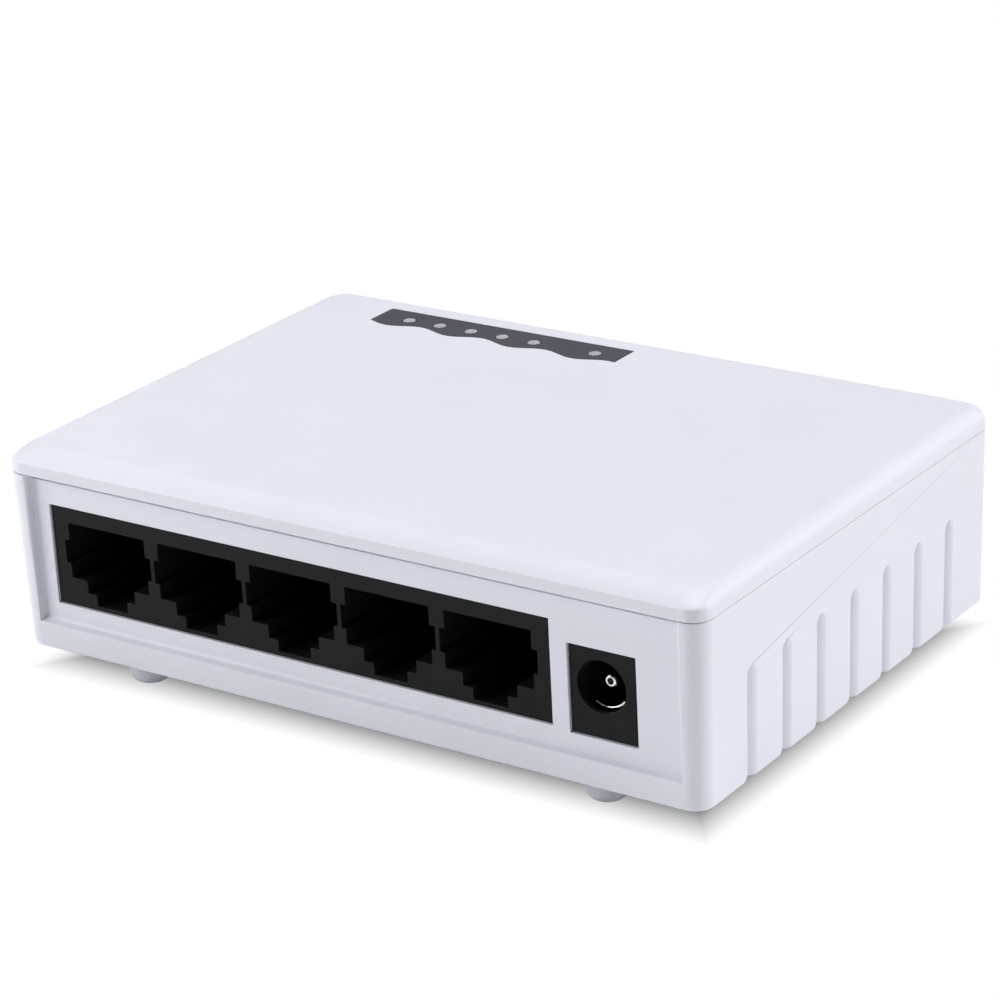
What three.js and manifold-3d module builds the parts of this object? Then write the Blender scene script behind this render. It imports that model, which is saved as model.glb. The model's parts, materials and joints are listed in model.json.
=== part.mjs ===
// Small five-port desktop network switch, in millimetres.
// Frame: origin at the centre of the footprint on the table, +X to the right as seen from the
// ports, +Y to the back, +Z up. The ports face -Y.
import * as THREE from "three";
import { mergeVertices } from "three/addons/utils/BufferGeometryUtils.js";
import Module from "manifold-3d";

const wasm = await Module();
wasm.setup();

// ---- Driving dimensions ------------------------------------------------------------------

const CASE_WIDTH = 99.1;
const CASE_DEPTH = 68.3;
const CORNER_RADIUS = 2.5;
const FOOT_HEIGHT = 3.55;
const BASE_HEIGHT = 22.75; // underside of the base to the seam
const COVER_HEIGHT = 3.0; // seam to the flat top
const SIDE_DRAFT = 0.5; // how much the base narrows on each side from seam to underside
const FRONT_DRAFT = 0.25;
const SEAM_GAP = 0.05;
const CLEARANCE = 0.1; // around what pokes through the case

const FLOOR_THICKNESS = 1.8;
const SIDE_WALL = 2.8;
const FRONT_WALL = 1.6;
const BACK_WALL = 2.0;
const TOP_THICKNESS = 1.8;
const UNDERSIDE_ROUND = 0.35;

const COVER_BAND = 1.6; // upright band at the front, from the seam to the crease
const COVER_SLOPE = 4.0; // depth of the curved slope behind the crease
const COVER_SIDE_ROUND = 2.0;
const COVER_LIP = 0.2; // height of the chamfer under the front edge
const COVER_LIP_DEPTH = 0.16;
const COVER_SIDE_LIP = 0.03;
const RIM_DROP = 1.2; // locating rim that hangs inside the base walls
const RIM_THICKNESS = 1.0;
const RIM_GAP = 0.2; // between the rim and the base walls

const RECESS_DEPTH = 1.2; // the port panel sits this far behind the front face
const RECESS_WIDTH = 92.6;
const RECESS_END_ROUND = 0.6; // where its two ends meet the front face
const RECESS_END_FILLET = 0.3; // where they meet the panel
const PANEL_SLOT = 0.64; // shadow gap between the panel's top edge and the seam
const LEDGE_HEIGHT = 3.75; // above the underside, at the panel
const LEDGE_DROP = 0.45; // how far the ledge falls towards the front edge
const LEDGE_FILLET = 0.5;

const GROOVE_COUNT = 7;
const GROOVE_PITCH = 7.77;
const GROOVE_WIDTH = 2.3;
const GROOVE_DEPTH = 1.7;
const GROOVE_TOP = 14.05; // above the underside
const GROOVE_FRONT_Y = -24.4; // sharp front edge of the first groove
const GROOVE_FLOOR = 0.12; // share of the width that is flat before the back starts to rise
const GROOVE_FRONT_FLARE = 1.2; // round of the rib corners at the underside
const GROOVE_BACK_FLARE = 0.5;

const VENT_COUNT = 9;
const VENT_PITCH = 6.5;
const VENT_WIDTH = 2.0;
const VENT_LENGTH = 22.0;
const VENT_CENTRE_Y = 4.0;

const FOOT_X = 33.4;
const FOOT_Y = 29.0;
const FOOT_RADIUS = 2.7;
const FOOT_ROUND = 1.6;
const FOOT_STEM_RADIUS = 1.1;
const FOOT_BARB_RADIUS = 1.6;
const FOOT_BARB_HEIGHT = 1.3;

const BOARD_WIDTH = 91.0;
const BOARD_THICKNESS = 1.6;
const BOARD_TOP = FOOT_HEIGHT + 6.0;
const BOARD_FRONT_Y = -31.0;
const BOARD_BACK_Y = 30.6;

const PORT_COUNT = 5;
const PORT_PITCH = 13.97; // 0.55 inch
const FIRST_PORT_X = -35.5;
const HOUSING_WIDTH = 72.7;
const HOUSING_OFFSET = 0.06; // of the block's middle from the middle port
const HOUSING_BOTTOM = FOOT_HEIGHT + 6.1;
const HOUSING_TOP = FOOT_HEIGHT + 19.0;
const HOUSING_LENGTH = 15.4;
const HOUSING_PEG_RADIUS = 1.5;
const HOUSING_PEG_SETBACK = 8.0;
const MOUTH_TOP = FOOT_HEIGHT + 16.95;
// Half of one port's stepped mouth, from the top down: [half width, height above the underside].
const MOUTH_STEPS = [
  [5.93, 16.95],
  [5.93, 14.62],
  [6.68, 14.62],
  [6.68, 11.67],
  [6.05, 11.67],
  [6.05, 9.74],
  [3.7, 9.74],
  [3.7, 8.09],
  [2.36, 8.09],
  [2.36, 6.62],
];
const FACE_SETBACK = 0.3; // jack faces behind the panel
const PLUG_DEPTH = 12.4;
const INSERT_HALF_WIDTH = 5.6;
const INSERT_GAP = 0.2; // between the contact carrier and the housing
const INSERT_BOTTOM = FOOT_HEIGHT + 6.75;
const INSERT_SLOT_DEPTH = 1.2;
const TONGUE_SETBACK = 2.6; // the contact carrier's tongue starts this far behind the face
const TONGUE_THICKNESS = 0.93;
const TONGUE_POCKET = 1.3; // how far the tongue's pocket rises above the mouth
const CONTACT_COUNT = 8;
const CONTACT_PITCH = 1.016;
const CONTACT_LENGTH = 6.6;
const CONTACT_WIDTH = 0.4;
const CONTACT_THICKNESS = 0.26;
const CONTACT_BEND_RADIUS = 0.25;
const CONTACT_BEND_SETBACK = 3.2;
const CONTACT_BEND_DROP = 0.33; // below the mouth's top
const CONTACT_SLOPE = THREE.MathUtils.degToRad(22);

const JACK_X = 35.76;
const JACK_BORE_X = JACK_X - 0.25; // the bore sits a little to the left in the body
const JACK_WIDTH = 8.8;
const JACK_TOP = FOOT_HEIGHT + 16.55;
const JACK_LIP_BOTTOM = FOOT_HEIGHT + 5.75; // the lip of the flange hangs in front of the board
const JACK_LIP_LENGTH = 1.3;
const JACK_BORE_RADIUS = 3.2;
const JACK_BORE_Z = FOOT_HEIGHT + 12.0;
const JACK_LENGTH = 14.0;
const JACK_FLANGE = 3.4;
const JACK_BORE_DEPTH = 10.5;
const JACK_BARREL_INSET = 0.25;
const JACK_PIN_RADIUS = 0.87;
const JACK_PIN_SETBACK = 1.8;
const JACK_PIN_HOLE_RADIUS = 0.36;
const JACK_PIN_HOLE_DEPTH = 1.6;
const JACK_PIN_FLANGE_RADIUS = 2.4;
const JACK_LUG_GAP = 0.15; // between the body and the lugs outside it
const JACK_LUG_THICKNESS = 0.5;
const JACK_SPRING_GAP = 0.15; // between the bore's floor and the sleeve spring
const JACK_SPRING_SETBACK = 0.5; // of its bend line from the end of the bore
const JACK_SPRING_LENGTH = 8.9;
const JACK_SPRING_SPREAD = 44; // degrees to each side
const JACK_SPRING_TURN = 10; // degrees round from straight down, to the right
const JACK_SPRING_INNER = 2.75;
const JACK_SPRING_OUTER = JACK_BORE_RADIUS - JACK_SPRING_GAP;
const JACK_POCKET_HALF_WIDTH = 2.6; // the pocket under the bore that the spring is pushed into
const JACK_POCKET_DEPTH = 3.65; // below the bore's axis
const JACK_POCKET_SETBACK = 0.7;
const JACK_SPRING_SLOT = 1.9;
const SIDE_CONTACT_THICKNESS = 0.4;
const SIDE_CONTACT_SETBACK = 7.5;
const LUG_REACH = 0.9; // how far the lugs stick out below the board

const LIGHT_X = [-32.6, -27.65, -22.7, -17.75, -12.8, -3.4]; // five links, then power
const LIGHT_Y = 27.3;
const LIGHT_RADIUS = 0.85;
const LABEL_LEFT = -37.4;
const LABEL_RIGHT = 0.7;
const LABEL_BACK_Y = 30.1;
const LABEL_FRONT_Y = 24.97;
const LABEL_WAVE = 0.62;
const LABEL_WAVE_PERIOD = 9.75;
const LABEL_WAVE_START = -34.3;
const LABEL_THICKNESS = 0.25;

const CASE_SCREW_X = 42.0;
const CASE_SCREW_Y = 0;
const CASE_BOSS_RADIUS = 4.2;
const CASE_COLUMN_RADIUS = 3.0;
const CASE_SCREW_HOLE = 1.6;
const CASE_SCREW_HEAD_HOLE = 3.1;
const CASE_SCREW_HEAD_DEPTH = 2.6;
const CASE_SCREW_PILOT = 9.5; // how far the hole runs up the cover's column
// Screws: [head radius, head height, shank radius, length, thread pitch].
const CASE_SCREW = [2.7, 1.9, 1.45, 11.5, 1.6];
const BOARD_SCREW = [2.2, 1.4, 1.05, 4.6, 1.1];
const BOARD_POST_RADIUS = 2.6;
const BOARD_SCREW_HOLE = 1.15;
const BOARD_PIN_RADIUS = 1.0;
const BOARD_PIN_REACH = 0.6; // above the board
const BOARD_POST_X = 40.0;
const BOARD_SCREW_Y = 24.0;
const BOARD_PIN_Y = -13.5;

// Parts on the board: [x, y, width, depth, height], or [x, y, radius, height] for the round ones.
const SWITCH_CHIP = [-4, 12, 14, 14, 1.4];
const MODULE_COUNT = 3;
const FIRST_MODULE = [-28.5, -9.5, 15.4, 8.6, 5.8];
const MODULE_PITCH = 21;
const POWER_INDUCTOR = [19.5, 5.5, 7.3, 7.3, 4.2];
const VOLTAGE_REGULATOR = [19.5, 14.5, 6.5, 3.6, 1.6];
const INPUT_DIODE = [21.5, -4.0, 4.4, 2.6, 2.2];
const INPUT_CAPACITOR = [30.5, -10.5, 4.0, 11.5];
const OUTPUT_CAPACITOR = [30.0, 6.0, 3.15, 11.0];
const CRYSTAL_X = -19;
const CRYSTAL_Y = 14;
const CRYSTAL_LENGTH = 11.2;
const CRYSTAL_RADIUS = 2.3;
const CRYSTAL_HEIGHT = 3.5;

// ---- Levels and planes worked out from them ------------------------------------------------

const UNDERSIDE = FOOT_HEIGHT;
const FLOOR_TOP = UNDERSIDE + FLOOR_THICKNESS;
const SEAM = UNDERSIDE + BASE_HEIGHT;
const COVER_BOTTOM = SEAM + SEAM_GAP;
const TOP = SEAM + COVER_HEIGHT;
const COVER_INSIDE = TOP - TOP_THICKNESS;
const PANEL_Y = -CASE_DEPTH / 2 + RECESS_DEPTH;
const PANEL_BACK_Y = PANEL_Y + FRONT_WALL;
const JACK_FACE_Y = PANEL_Y + FACE_SETBACK;
const BOARD_BOTTOM = BOARD_TOP - BOARD_THICKNESS;
const BOSS_TOP = BOARD_TOP + 0.7;
const HOUSING_CENTRE_X = FIRST_PORT_X + 2 * PORT_PITCH + HOUSING_OFFSET;
const LIGHT_Z = BOARD_TOP + 1.4; // lower ends of the light guide's rods
const RESTING_GAP = 0.02; // between pieces that rest on each other
const JACK_SPRING_Y = JACK_FACE_Y + JACK_BORE_DEPTH - JACK_SPRING_SETBACK;
const JACK_SPRING_Z = JACK_BORE_Z - JACK_BORE_RADIUS + JACK_SPRING_GAP;
const JACK_LUG_Y = JACK_FACE_Y + JACK_LENGTH + JACK_LUG_GAP;
const LUG_BOTTOM = BOARD_BOTTOM - LUG_REACH;

// ---- Materials -----------------------------------------------------------------------------

const finish = (color, roughness, metalness = 0) =>
  new THREE.MeshStandardMaterial({ color, roughness, metalness });

const whitePlastic = () => finish(0xe6e7ee, 0.38);
const whiteRubber = () => finish(0xd2d3da, 0.8);
const blackPlastic = () => finish(0x222224, 0.5);
const nickel = () => finish(0xd8d8dc, 0.2, 1);
const goldPlate = () => finish(0xd9b65a, 0.25, 1);
const zincSteel = () => finish(0xb4b6ba, 0.35, 1);
const labelFilm = () => finish(0x52525a, 0.45);
const diffuser = () => finish(0xdadbe2, 0.3);
const boardLaminate = () => finish(0x1d5a37, 0.5);
const chipEpoxy = () => finish(0x1b1b1d, 0.6);
const capacitorSleeve = () => finish(0x23262e, 0.35);
const ferrite = () => finish(0x3c3c3f, 0.7);
const lampCeramic = () => finish(0xe9e4cf, 0.4);

// ---- Geometry helpers ----------------------------------------------------------------------

const radians = THREE.MathUtils.degToRad;

// A closed geometry as a manifold-3d solid.
function solid(geometry) {
  const bare = geometry.clone();
  bare.deleteAttribute("normal");
  bare.deleteAttribute("uv");
  const merged = mergeVertices(bare, 1e-4);
  const mesh = new wasm.Mesh({
    numProp: 3,
    vertProperties: merged.getAttribute("position").array,
    triVerts: new Uint32Array(merged.index.array),
  });
  return new wasm.Manifold(mesh);
}

// A manifold-3d solid as a geometry.
function geometryOf(made) {
  const mesh = made.getMesh();
  const positions = new Float32Array(mesh.numVert * 3);
  for (let i = 0; i < mesh.numVert; i++) {
    const start = i * mesh.numProp;
    positions.set(mesh.vertProperties.subarray(start, start + 3), i * 3);
  }
  const geometry = new THREE.BufferGeometry();
  geometry.setAttribute("position", new THREE.BufferAttribute(positions, 3));
  geometry.setIndex(new THREE.BufferAttribute(mesh.triVerts, 1));
  geometry.computeVertexNormals();
  return geometry;
}

const joined = (first, ...rest) => rest.reduce((sum, item) => sum.add(item), first);
const cutBy = (first, ...cutters) => cutters.reduce((left, item) => left.subtract(item), first);

// A block between two corners.
function block([x0, y0, z0], [x1, y1, z1]) {
  const geometry = new THREE.BoxGeometry(x1 - x0, y1 - y0, z1 - z0);
  geometry.translate((x0 + x1) / 2, (y0 + y1) / 2, (z0 + z1) / 2);
  return solid(geometry);
}

// A round bar that stands on z0, centred on x, y.
function post(x, y, z0, z1, radius, sides = 24) {
  const geometry = new THREE.CylinderGeometry(radius, radius, z1 - z0, sides);
  geometry.rotateX(Math.PI / 2);
  geometry.translate(x, y, (z0 + z1) / 2);
  return solid(geometry);
}

// A round bar along Y.
function barAlongY(x, z, y0, y1, radius, sides = 32) {
  const geometry = new THREE.CylinderGeometry(radius, radius, y1 - y0, sides);
  geometry.translate(x, (y0 + y1) / 2, z);
  return solid(geometry);
}

// A shape drawn in X and Y, extruded from z0 up to z1.
function alongZ(shape, z0, z1, curveSegments = 4) {
  const geometry = new THREE.ExtrudeGeometry(shape, {
    depth: z1 - z0,
    bevelEnabled: false,
    curveSegments,
  });
  geometry.translate(0, 0, z0);
  return solid(geometry);
}

// A shape drawn in X and Z, extruded from y0 back to y1.
function alongY(shape, y0, y1, curveSegments = 4) {
  const geometry = new THREE.ExtrudeGeometry(shape, {
    depth: y1 - y0,
    bevelEnabled: false,
    curveSegments,
  });
  geometry.rotateX(Math.PI / 2);
  geometry.translate(0, y1, 0);
  return solid(geometry);
}

// A shape drawn in Y and Z, extruded from x0 to x1. round softens the edges of both ends.
function alongX(shape, x0, x1, round = 0, curveSegments = 4) {
  const geometry = new THREE.ExtrudeGeometry(shape, {
    depth: x1 - x0 - 2 * round,
    bevelEnabled: round > 0,
    bevelThickness: round,
    bevelSize: round,
    bevelOffset: -round,
    bevelSegments: 2,
    curveSegments,
  });
  const yzx = new THREE.Matrix4().makeBasis(
    new THREE.Vector3(0, 1, 0),
    new THREE.Vector3(0, 0, 1),
    new THREE.Vector3(1, 0, 0),
  );
  geometry.applyMatrix4(yzx);
  geometry.translate(x0 + round, 0, 0);
  return solid(geometry);
}

// A solid of revolution about Z from a profile of [radius, z] points, from the axis to the axis.
function turned(profile, sides = 24) {
  const points = profile.map(([radius, z]) => new THREE.Vector2(radius, z));
  const geometry = new THREE.LatheGeometry(points, sides);
  geometry.rotateX(Math.PI / 2);
  return solid(geometry);
}

// Points of a quarter round for a turned profile, from angle start to end in degrees.
function arcPoints(centreRadius, centreZ, radius, start, end, steps = 4) {
  return Array.from({ length: steps + 1 }, (_, i) => {
    const angle = radians(start + ((end - start) * i) / steps);
    return [centreRadius + radius * Math.cos(angle), centreZ + radius * Math.sin(angle)];
  });
}

function polygon(points) {
  return new THREE.Shape(points.map(([a, b]) => new THREE.Vector2(a, b)));
}

// A level rounded rectangle of points at height z.
function ring({ left, right, front, back, radius, z }, cornerSteps = 8) {
  const corners = [
    [right - radius, back - radius, 0],
    [left + radius, back - radius, 90],
    [left + radius, front + radius, 180],
    [right - radius, front + radius, 270],
  ];
  return corners.flatMap(([x, y, start]) =>
    Array.from({ length: cornerSteps + 1 }, (_, i) => {
      const angle = radians(start + (90 * i) / cornerSteps);
      return [x + radius * Math.cos(angle), y + radius * Math.sin(angle), z];
    }),
  );
}

// A solid with flat ends whose skin runs through a stack of rings.
function loft(rings) {
  const count = rings[0].length;
  const positions = rings.flat(2);
  const triangles = [];
  for (let level = 0; level < rings.length - 1; level++) {
    for (let i = 0; i < count; i++) {
      const a = level * count + i;
      const b = level * count + ((i + 1) % count);
      triangles.push(a, b, b + count, a, b + count, a + count);
    }
  }
  const last = (rings.length - 1) * count;
  for (let i = 1; i < count - 1; i++) {
    triangles.push(0, i + 1, i);
    triangles.push(last, last + i, last + i + 1);
  }
  const geometry = new THREE.BufferGeometry();
  geometry.setAttribute("position", new THREE.Float32BufferAttribute(positions, 3));
  geometry.setIndex(triangles);
  return solid(geometry);
}

// A rounded rectangle inset from the case's largest outline.
function caseRing(z, sideInset, frontInset, backInset, radius = CORNER_RADIUS) {
  return ring({
    left: -CASE_WIDTH / 2 + sideInset,
    right: CASE_WIDTH / 2 - sideInset,
    front: -CASE_DEPTH / 2 + frontInset,
    back: CASE_DEPTH / 2 - backInset,
    radius,
    z,
  });
}

// ---- Base shell ----------------------------------------------------------------------------

function baseOutside() {
  const rings = [];
  for (const angle of [0, 30, 60, 90]) {
    const rise = UNDERSIDE_ROUND * (1 - Math.cos(radians(angle)));
    const inset = UNDERSIDE_ROUND * (1 - Math.sin(radians(angle)));
    const end = FRONT_DRAFT + inset;
    rings.push(caseRing(UNDERSIDE + rise, SIDE_DRAFT + inset, end, end, CORNER_RADIUS - inset));
  }
  rings.push(caseRing(SEAM, 0, 0, 0));
  return loft(rings);
}

function baseInside() {
  const front = PANEL_BACK_Y + CASE_DEPTH / 2;
  return loft([
    caseRing(FLOOR_TOP, SIDE_WALL, front, BACK_WALL, 1.2),
    caseRing(SEAM + 1, SIDE_WALL, front, BACK_WALL, 1.2),
  ]);
}

// One end of the panel recess in plan, from the middle out: filleted at the panel, then straight,
// then rounded over into the front face.
function recessPlan() {
  const half = RECESS_WIDTH / 2;
  const front = -CASE_DEPTH / 2;
  const fillet = RECESS_END_FILLET;
  const round = RECESS_END_ROUND;
  const roundFront = front + round;
  const plan = new THREE.Shape();
  plan.moveTo(-half + fillet, PANEL_Y);
  plan.absarc(-half + fillet, PANEL_Y - fillet, fillet, Math.PI / 2, Math.PI, false);
  plan.absarc(-half - round, roundFront, round, 0, -Math.PI / 2, true);
  plan.lineTo(-half - round, front - 1);
  plan.lineTo(half + round, front - 1);
  plan.absarc(half + round, roundFront, round, -Math.PI / 2, -Math.PI, true);
  plan.absarc(half - fillet, PANEL_Y - fillet, fillet, 0, Math.PI / 2, false);
  return plan;
}

// What is cut away in front of the port panel, down to a ledge that falls towards the front.
function panelRecess() {
  const ledge = UNDERSIDE + LEDGE_HEIGHT;
  const slope = LEDGE_DROP / RECESS_DEPTH;
  const outside = PANEL_Y - 3;
  const shape = new THREE.Shape();
  shape.moveTo(outside, ledge - 3 * slope);
  shape.lineTo(PANEL_Y - LEDGE_FILLET, ledge - LEDGE_FILLET * slope);
  shape.quadraticCurveTo(PANEL_Y, ledge, PANEL_Y, ledge + LEDGE_FILLET);
  shape.lineTo(PANEL_Y + 1, ledge + LEDGE_FILLET);
  shape.lineTo(PANEL_Y + 1, UNDERSIDE - 1);
  shape.lineTo(outside, UNDERSIDE - 1);
  const below = alongX(shape, -CASE_WIDTH, CASE_WIDTH, 0, 3);
  return alongZ(recessPlan(), ledge - LEDGE_DROP - 1, SEAM + 1, 5).subtract(below);
}

// The gap over the panel: its top edge stops short of the cover.
function panelSlot() {
  const half = RECESS_WIDTH / 2;
  return block([-half, PANEL_Y - 1, SEAM - PANEL_SLOT], [half, PANEL_BACK_Y + 0.1, SEAM + 1]);
}

// How far the side face has drawn in at height z.
const sideInset = (z) => SIDE_DRAFT * (1 - (Math.max(z, UNDERSIDE) - UNDERSIDE) / BASE_HEIGHT);

// One groove's outline at one depth: a front and a back edge, a rounded top between them, and edges
// that flare at the underside. It runs anticlockwise as seen from +X.
function grooveRing(front, back, depth) {
  const below = UNDERSIDE - 2;
  const middle = (front + back) / 2;
  const halfWidth = (back - front) / 2;
  const topRound = GROOVE_WIDTH / 2;
  const frontFlare = GROOVE_FRONT_FLARE;
  const backFlare = GROOVE_BACK_FLARE;
  const frontFoot = arcPoints(front - frontFlare, UNDERSIDE + frontFlare, frontFlare, 0, -90, 5);
  const backFoot = arcPoints(back + backFlare, UNDERSIDE + backFlare, backFlare, -90, -180, 3);
  const crown = arcPoints(0, 0, 1, 0, 180, 10).map(([across, up]) => [
    middle + across * halfWidth,
    UNDERSIDE + GROOVE_TOP - topRound + up * topRound,
  ]);
  const bottom = [[front - frontFlare, below], [back + backFlare, below]];
  const outline = [...bottom, ...backFoot, ...crown, ...frontFoot];
  return outline.map(([y, z]) => [CASE_WIDTH / 2 - sideInset(z) - depth, y, z]);
}

// The cutter of one groove on the right-hand side: an upright front wall, a narrow floor and a back
// that rises as a parabola and meets the side face without an edge.
function grooveCutter(front) {
  const steps = 7;
  const rings = Array.from({ length: steps + 1 }, (_, i) => {
    const along = i / steps;
    const back = front + GROOVE_WIDTH * (GROOVE_FLOOR + (1 - GROOVE_FLOOR) * along);
    return grooveRing(front, back, GROOVE_DEPTH * (1 - along) ** 2);
  });
  rings.push(grooveRing(front, front + GROOVE_WIDTH, -2));
  return loft(rings);
}

function sideGrooves() {
  return Array.from({ length: GROOVE_COUNT }, (_, i) => {
    const cutter = grooveCutter(GROOVE_FRONT_Y + i * GROOVE_PITCH);
    return [cutter, cutter.mirror([1, 0, 0])];
  }).flat();
}

function slotShape(x, y, width, length) {
  const half = width / 2;
  const reach = length / 2 - half;
  const shape = new THREE.Shape();
  shape.absarc(x, y + reach, half, 0, Math.PI, false);
  shape.absarc(x, y - reach, half, Math.PI, 2 * Math.PI, false);
  return shape;
}

function floorVents() {
  return Array.from({ length: VENT_COUNT }, (_, i) => {
    const x = (i - (VENT_COUNT - 1) / 2) * VENT_PITCH;
    return alongZ(slotShape(x, VENT_CENTRE_Y, VENT_WIDTH, VENT_LENGTH), UNDERSIDE - 1, FLOOR_TOP + 1, 3);
  });
}

function panelApertures() {
  const gap = CLEARANCE;
  const ports = block(
    [HOUSING_CENTRE_X - HOUSING_WIDTH / 2 - gap, PANEL_Y - 1, HOUSING_BOTTOM - gap],
    [HOUSING_CENTRE_X + HOUSING_WIDTH / 2 + gap, PANEL_BACK_Y + 1, HOUSING_TOP + gap],
  );
  const jack = block(
    [JACK_X - JACK_WIDTH / 2 - gap, PANEL_Y - 1, JACK_LIP_BOTTOM - gap],
    [JACK_X + JACK_WIDTH / 2 + gap, PANEL_BACK_Y + 1, JACK_TOP + gap],
  );
  return [ports, jack];
}

function baseShell() {
  const bosses = [];
  const holes = [];
  const below = UNDERSIDE - 1;
  const boardRest = BOARD_BOTTOM - RESTING_GAP;
  for (const side of [-1, 1]) {
    const screwX = side * CASE_SCREW_X;
    const headTop = UNDERSIDE + CASE_SCREW_HEAD_DEPTH;
    bosses.push(post(screwX, CASE_SCREW_Y, UNDERSIDE + 1, BOSS_TOP, CASE_BOSS_RADIUS));
    holes.push(post(screwX, CASE_SCREW_Y, below, BOSS_TOP + 1, CASE_SCREW_HOLE));
    holes.push(post(screwX, CASE_SCREW_Y, below, headTop, CASE_SCREW_HEAD_HOLE));

    const postX = side * BOARD_POST_X;
    bosses.push(post(postX, BOARD_SCREW_Y, UNDERSIDE + 1, boardRest, BOARD_POST_RADIUS));
    holes.push(post(postX, BOARD_SCREW_Y, FLOOR_TOP - 0.8, BOARD_BOTTOM + 1, BOARD_SCREW_HOLE, 16));
    bosses.push(post(postX, BOARD_PIN_Y, UNDERSIDE + 1, boardRest, BOARD_POST_RADIUS));
    bosses.push(post(postX, BOARD_PIN_Y, UNDERSIDE + 1, BOARD_TOP + BOARD_PIN_REACH, BOARD_PIN_RADIUS, 16));

    for (const end of [-1, 1]) {
      holes.push(post(side * FOOT_X, end * FOOT_Y, below, FLOOR_TOP + 1, FOOT_STEM_RADIUS + 0.1, 16));
    }
  }
  const shell = cutBy(baseOutside(), baseInside(), panelRecess(), panelSlot());
  return cutBy(joined(shell, ...bosses), ...panelApertures(), ...sideGrooves(), ...floorVents(), ...holes);
}

// ---- Cover ---------------------------------------------------------------------------------

// Inset of the cover's front at a height above the seam: none up to the crease, then an arc that
// meets the flat top without an edge.
function coverFrontInset(height) {
  if (height <= COVER_BAND) return 0;
  const rise = COVER_HEIGHT - COVER_BAND;
  const arcRadius = (COVER_SLOPE ** 2 + rise ** 2) / (2 * rise);
  const belowTop = COVER_HEIGHT - height;
  return COVER_SLOPE - Math.sqrt(Math.max(0, arcRadius ** 2 - (arcRadius - belowTop) ** 2));
}

function coverOutside() {
  const band = COVER_HEIGHT - COVER_SIDE_ROUND;
  const creaseAngle = THREE.MathUtils.radToDeg(Math.asin((COVER_BAND - band) / COVER_SIDE_ROUND));
  const rings = [
    caseRing(COVER_BOTTOM, COVER_SIDE_LIP, COVER_LIP_DEPTH, COVER_SIDE_LIP, CORNER_RADIUS - COVER_SIDE_LIP),
    caseRing(COVER_BOTTOM + COVER_LIP, 0, 0, 0),
  ];
  for (const angle of [10, creaseAngle, 26, 35, 44, 53, 62, 71, 80, 90]) {
    const height = band + COVER_SIDE_ROUND * Math.sin(radians(angle));
    const inset = COVER_SIDE_ROUND * (1 - Math.cos(radians(angle)));
    rings.push(caseRing(SEAM + height, inset, coverFrontInset(height), inset));
  }
  return loft(rings);
}

// The dark strip round the indicator lights: straight but for a shallow wave along its front.
function labelOutline(margin) {
  const left = LABEL_LEFT - margin;
  const right = LABEL_RIGHT + margin;
  const steps = 44;
  const points = [[right, LABEL_BACK_Y + margin], [left, LABEL_BACK_Y + margin]];
  for (let i = 0; i <= steps; i++) {
    const x = left + ((right - left) * i) / steps;
    const phase = (2 * Math.PI * (x - LABEL_WAVE_START)) / LABEL_WAVE_PERIOD;
    points.push([x, LABEL_FRONT_Y - margin - LABEL_WAVE * Math.cos(phase)]);
  }
  return polygon(points);
}

function topCover() {
  const inside = SIDE_WALL + RIM_GAP;
  const frontInside = PANEL_BACK_Y + CASE_DEPTH / 2 + RIM_GAP;
  const backInside = BACK_WALL + RIM_GAP;
  const rimBottom = COVER_BOTTOM - RIM_DROP;
  const rim = loft([
    caseRing(rimBottom, inside, frontInside, backInside, 1),
    caseRing(COVER_INSIDE, inside, frontInside, backInside, 1),
  ]);
  const hollowRing = (z) =>
    caseRing(z, inside + RIM_THICKNESS, frontInside + RIM_THICKNESS, backInside + RIM_THICKNESS, 0.6);
  const hollow = loft([hollowRing(rimBottom - 1), hollowRing(COVER_INSIDE)]);
  const columns = [];
  const holes = [];
  for (const side of [-1, 1]) {
    const x = side * CASE_SCREW_X;
    columns.push(post(x, CASE_SCREW_Y, BOSS_TOP + 0.3, COVER_INSIDE + 0.5, CASE_COLUMN_RADIUS));
    holes.push(post(x, CASE_SCREW_Y, BOSS_TOP - 1, BOSS_TOP + CASE_SCREW_PILOT, CASE_SCREW_HOLE));
  }
  for (const x of LIGHT_X) {
    holes.push(post(x, LIGHT_Y, COVER_INSIDE - 1, TOP + 1, LIGHT_RADIUS + 0.2, 16));
  }
  const labelSeat = alongZ(labelOutline(0.1), TOP - LABEL_THICKNESS - RESTING_GAP, TOP + 1);
  const shell = cutBy(joined(coverOutside(), rim), hollow);
  return cutBy(joined(shell, ...columns), labelSeat, ...holes);
}

function indicatorLabel() {
  const outline = labelOutline(0);
  for (const x of LIGHT_X) {
    const hole = new THREE.Path();
    hole.absarc(x, LIGHT_Y, LIGHT_RADIUS + 0.1, 0, 2 * Math.PI, true);
    outline.holes.push(hole);
  }
  return alongZ(outline, TOP - LABEL_THICKNESS, TOP, 8);
}

// Six clear rods on one rail: each carries a lamp's light from the board up to the label.
function lightGuide() {
  const railTop = COVER_INSIDE - RESTING_GAP;
  const first = LIGHT_X[0] - 2;
  const last = LIGHT_X[LIGHT_X.length - 1] + 2;
  const rail = block([first, LIGHT_Y - 1.2, railTop - 1.6], [last, LIGHT_Y + 1.2, railTop]);
  const rods = LIGHT_X.map((x) => post(x, LIGHT_Y, LIGHT_Z, TOP - 0.04, LIGHT_RADIUS, 12));
  return joined(rail, ...rods);
}

// ---- Feet and screws -----------------------------------------------------------------------

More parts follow.
